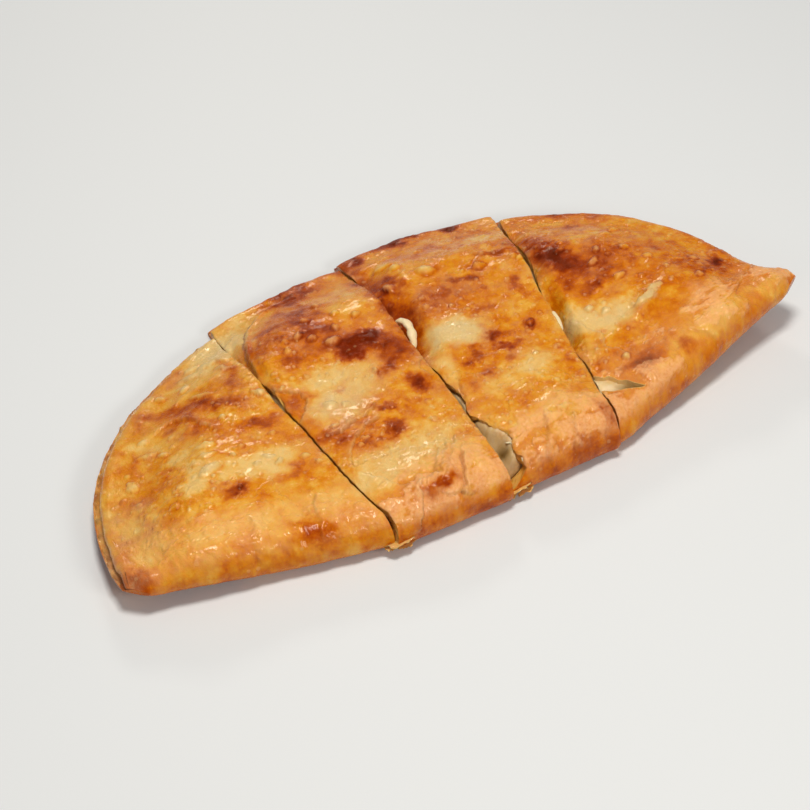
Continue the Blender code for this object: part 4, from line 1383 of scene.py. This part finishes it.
# Cheese
CREAM = srgb(240, 214, 166)
DEEP_CREAM = srgb(216, 182, 118)
CURD = srgb(250, 236, 208)
TAN = srgb(196, 140, 76)
OLIVE_AND_SHADE = srgb(122, 88, 26)
PAINTED_CHEESE_SHADE = srgb(64, 38, 12)
BUMP_DISTANCE = 0.0005


def small_blisters(nodes):
    """1 on small round blisters in some cells of the dough, 0 elsewhere."""
    cells = nodes.new("ShaderNodeTexVoronoi", {"Vector": nodes.place, "Scale": 310.0})
    size, chance, _ = nodes.parts(cells.outputs["Color"])
    room = nodes.math("SUBTRACT", nodes.scaled(size, 0.36), cells.outputs["Distance"])
    return nodes.times(nodes.scaled(room, 8.0, clamp=True), nodes.scaled(chance, 9.0, -4.5, clamp=True))


def crust_material():
    """Fried dough: browned by its tone, milky and red in places, with painted shade in its crevices and a
    painted peach sheen on the folds, oily and finely blistered.
    """
    nodes = Nodes("fried_dough")
    toast, milky, red, crevice = nodes.tone
    peach = nodes.new("ShaderNodeAttribute", attribute_name="peach").outputs["Fac"]
    broad = nodes.noise(260.0, 5.0, 0.60, 0.15)
    grain = nodes.noise(900.0, 4.0, 0.6)
    speckle = nodes.noise(2100.0, 2.0, 0.5)
    blister = nodes.times(small_blisters(nodes), nodes.scaled(peach, -0.8, 1.0))
    mottled = nodes.add(nodes.scaled(broad, 0.34, -0.17), nodes.scaled(grain, 0.28, -0.14))
    toasted = nodes.add(mottled, toast, clamp=True)
    milk = nodes.times(milky, nodes.scaled(broad, 0.9, 0.25), clamp=True)
    # peach sheen: a painted highlight on the fold, broken up by grain
    light = nodes.times(peach, nodes.scaled(grain, 1.8, -0.15), clamp=True)
    blush = nodes.times(red, nodes.scaled(grain, 1.2, -0.1), clamp=True)
    colour = nodes.ramp(toasted, FRIED)
    colour = nodes.mix(nodes.scaled(milk, 0.92), colour, MILKY)
    colour = nodes.mix(nodes.scaled(blister, 0.20), colour, PALE)
    colour = nodes.mix(nodes.scaled(light, 0.74), colour, PEACH_SHEEN)
    colour = nodes.mix(nodes.scaled(blush, 0.70), colour, RED)
    # painted shade: dark brown laid into grooves, cracks, seams and between leaves
    colour = nodes.mix(nodes.scaled(crevice, 0.8, clamp=True), colour, PAINTED_SHADE_COLOUR)
    rough_skin = nodes.add(nodes.scaled(grain, 0.6), nodes.scaled(speckle, 0.35))
    rough_skin = nodes.add(rough_skin, nodes.scaled(blister, 0.5))
    fill(nodes.shader, {
        "Base Color": colour,
        "Specular Tint": nodes.mix(0.40, colour, OIL),
        "Roughness": nodes.add(nodes.scaled(grain, 0.28, 0.12), nodes.scaled(light, 0.10)),
        "IOR": 1.45,
        "Specular IOR Level": nodes.scaled(toasted, -0.62, 0.62),
        "Coat Weight": nodes.scaled(toasted, -0.30, 0.34),
        "Coat Roughness": 0.08,
        "Subsurface Weight": 0.22,
        "Subsurface Radius": (1.0, 0.42, 0.14),
        "Subsurface Scale": 0.0015,
        "Normal": nodes.bump(nodes.add(rough_skin, broad), 0.75),
    })
    return nodes.material


def cheese_material():
    """Soft cheese: cream with pale curds, tan and olive where oil and dough touched it; the dark and the
    olive in its hollows, gaps and the slit are painted shade.
    """
    nodes = Nodes("soft_cheese")
    olive, tan, dark, pale = nodes.tone
    grain = nodes.noise(700.0, 4.0, 0.6)
    broad = nodes.noise(220.0, 4.0, 0.6)
    colour = nodes.mix(broad, CREAM, DEEP_CREAM)
    colour = nodes.mix(nodes.scaled(pale, 0.8, -0.2, clamp=True), colour, CURD)
    # olive and dark are painted shade where the filling lies in hollows and gaps
    for share, shade in ((tan, TAN), (olive, OLIVE_AND_SHADE), (dark, PAINTED_CHEESE_SHADE)):
        colour = nodes.mix(nodes.scaled(share, 1.0, clamp=True), colour, shade)
    fill(nodes.shader, {
        "Base Color": colour,
        "Roughness": nodes.scaled(grain, 0.3, 0.24),
        "Subsurface Weight": 0.4,
        "Subsurface Radius": (1.0, 0.75, 0.45),
        "Subsurface Scale": 0.002,
        "Normal": nodes.bump(nodes.add(grain, broad), 0.5),
    })
    return nodes.material


# Camera: the photograph's viewing angle
CAMERA_PLACE = Vector((-0.32641, -0.55662, 0.59084))
CAMERA_AIM = Vector((-0.008464, -0.008573, 0.0))
CAMERA_LENS = 104.44
CAMERA_ROLL = -1.57
# Soft lamps aimed at the bread: name, place, size, power
LAMPS = (
    ("overhead", (0.00, -0.05, 1.0), (0.30, 0.22), 6.6),
    ("back", (0.40, 0.95, 0.55), (0.22, 0.16), 1.9),
    ("front", (0.20, -1.00, 0.60), (0.40, 0.24), 3.7),
    ("front_left", (-0.90, -0.60, 0.60), (0.40, 0.30), 0.8),
)
LAMP_COLOUR = (1.0, 0.93, 0.78)
WORLD_COLOUR = (1.0, 0.95, 0.86, 1.0)
WORLD_STRENGTH = 0.19
FLOOR_COLOUR = (0.76, 0.81, 0.92, 1.0)
FLOOR_HALF = 3.0
FLOOR_LEVEL = -0.0001


def add_camera():
    """The camera, rolled a little about its view."""
    data = bpy.data.cameras.new("camera")
    data.lens = CAMERA_LENS
    data.sensor_width = 36.0
    data.clip_start = 0.01
    item = placed("camera", data)
    item.location = CAMERA_PLACE
    turn = (CAMERA_AIM - CAMERA_PLACE).to_track_quat("-Z", "Y").to_matrix().to_4x4()
    roll = turn @ Matrix.Rotation(math.radians(CAMERA_ROLL), 4, "Z")
    item.rotation_euler = roll.to_euler()
    bpy.context.scene.camera = item


def add_lamp(name, place, size, power):
    """A rectangular lamp that faces the bread."""
    data = bpy.data.lights.new(name, "AREA")
    data.shape = "RECTANGLE"
    data.size, data.size_y = size
    data.energy = power
    data.color = LAMP_COLOUR
    item = placed(name, data)
    item.location = place
    item.rotation_euler = (-Vector(place)).to_track_quat("-Z", "Y").to_euler()


def add_floor():
    """A plain pale floor."""
    material = bpy.data.materials.new("pale_floor")
    material.use_nodes = True
    fill(material.node_tree.nodes["Principled BSDF"], {"Base Color": FLOOR_COLOUR, "Roughness": 0.6})
    data = bpy.data.meshes.new("floor")
    corners = [(-1, -1), (1, -1), (1, 1), (-1, 1)]
    data.from_pydata([(x * FLOOR_HALF, y * FLOOR_HALF, FLOOR_LEVEL) for x, y in corners], [], [(0, 1, 2, 3)])
    data.materials.append(material)
    placed("floor", data)


def add_world():
    """Even warm light from all around."""
    world = bpy.data.worlds.new("studio")
    world.use_nodes = True
    fill(world.node_tree.nodes["Background"], {"Color": WORLD_COLOUR, "Strength": WORLD_STRENGTH})
    bpy.context.scene.world = world
    bpy.context.scene.view_settings.view_transform = "Standard"


def main():
    """Build every piece, then the camera, floor and lights."""
    dough = crust_material()
    cheese = cheese_material()
    for piece in SLICES:
        crust_mesh(piece, dough)
        filling_mesh(piece, cheese)
    for order, curl in enumerate(CURLS, 1):
        curl_mesh(order, *curl, cheese)
    for order, leaf in enumerate(LEAVES, 1):
        leaf_mesh(order, *leaf, dough)
    add_camera()
    add_floor()
    add_world()
    for lamp in LAMPS:
        add_lamp(*lamp)


main()
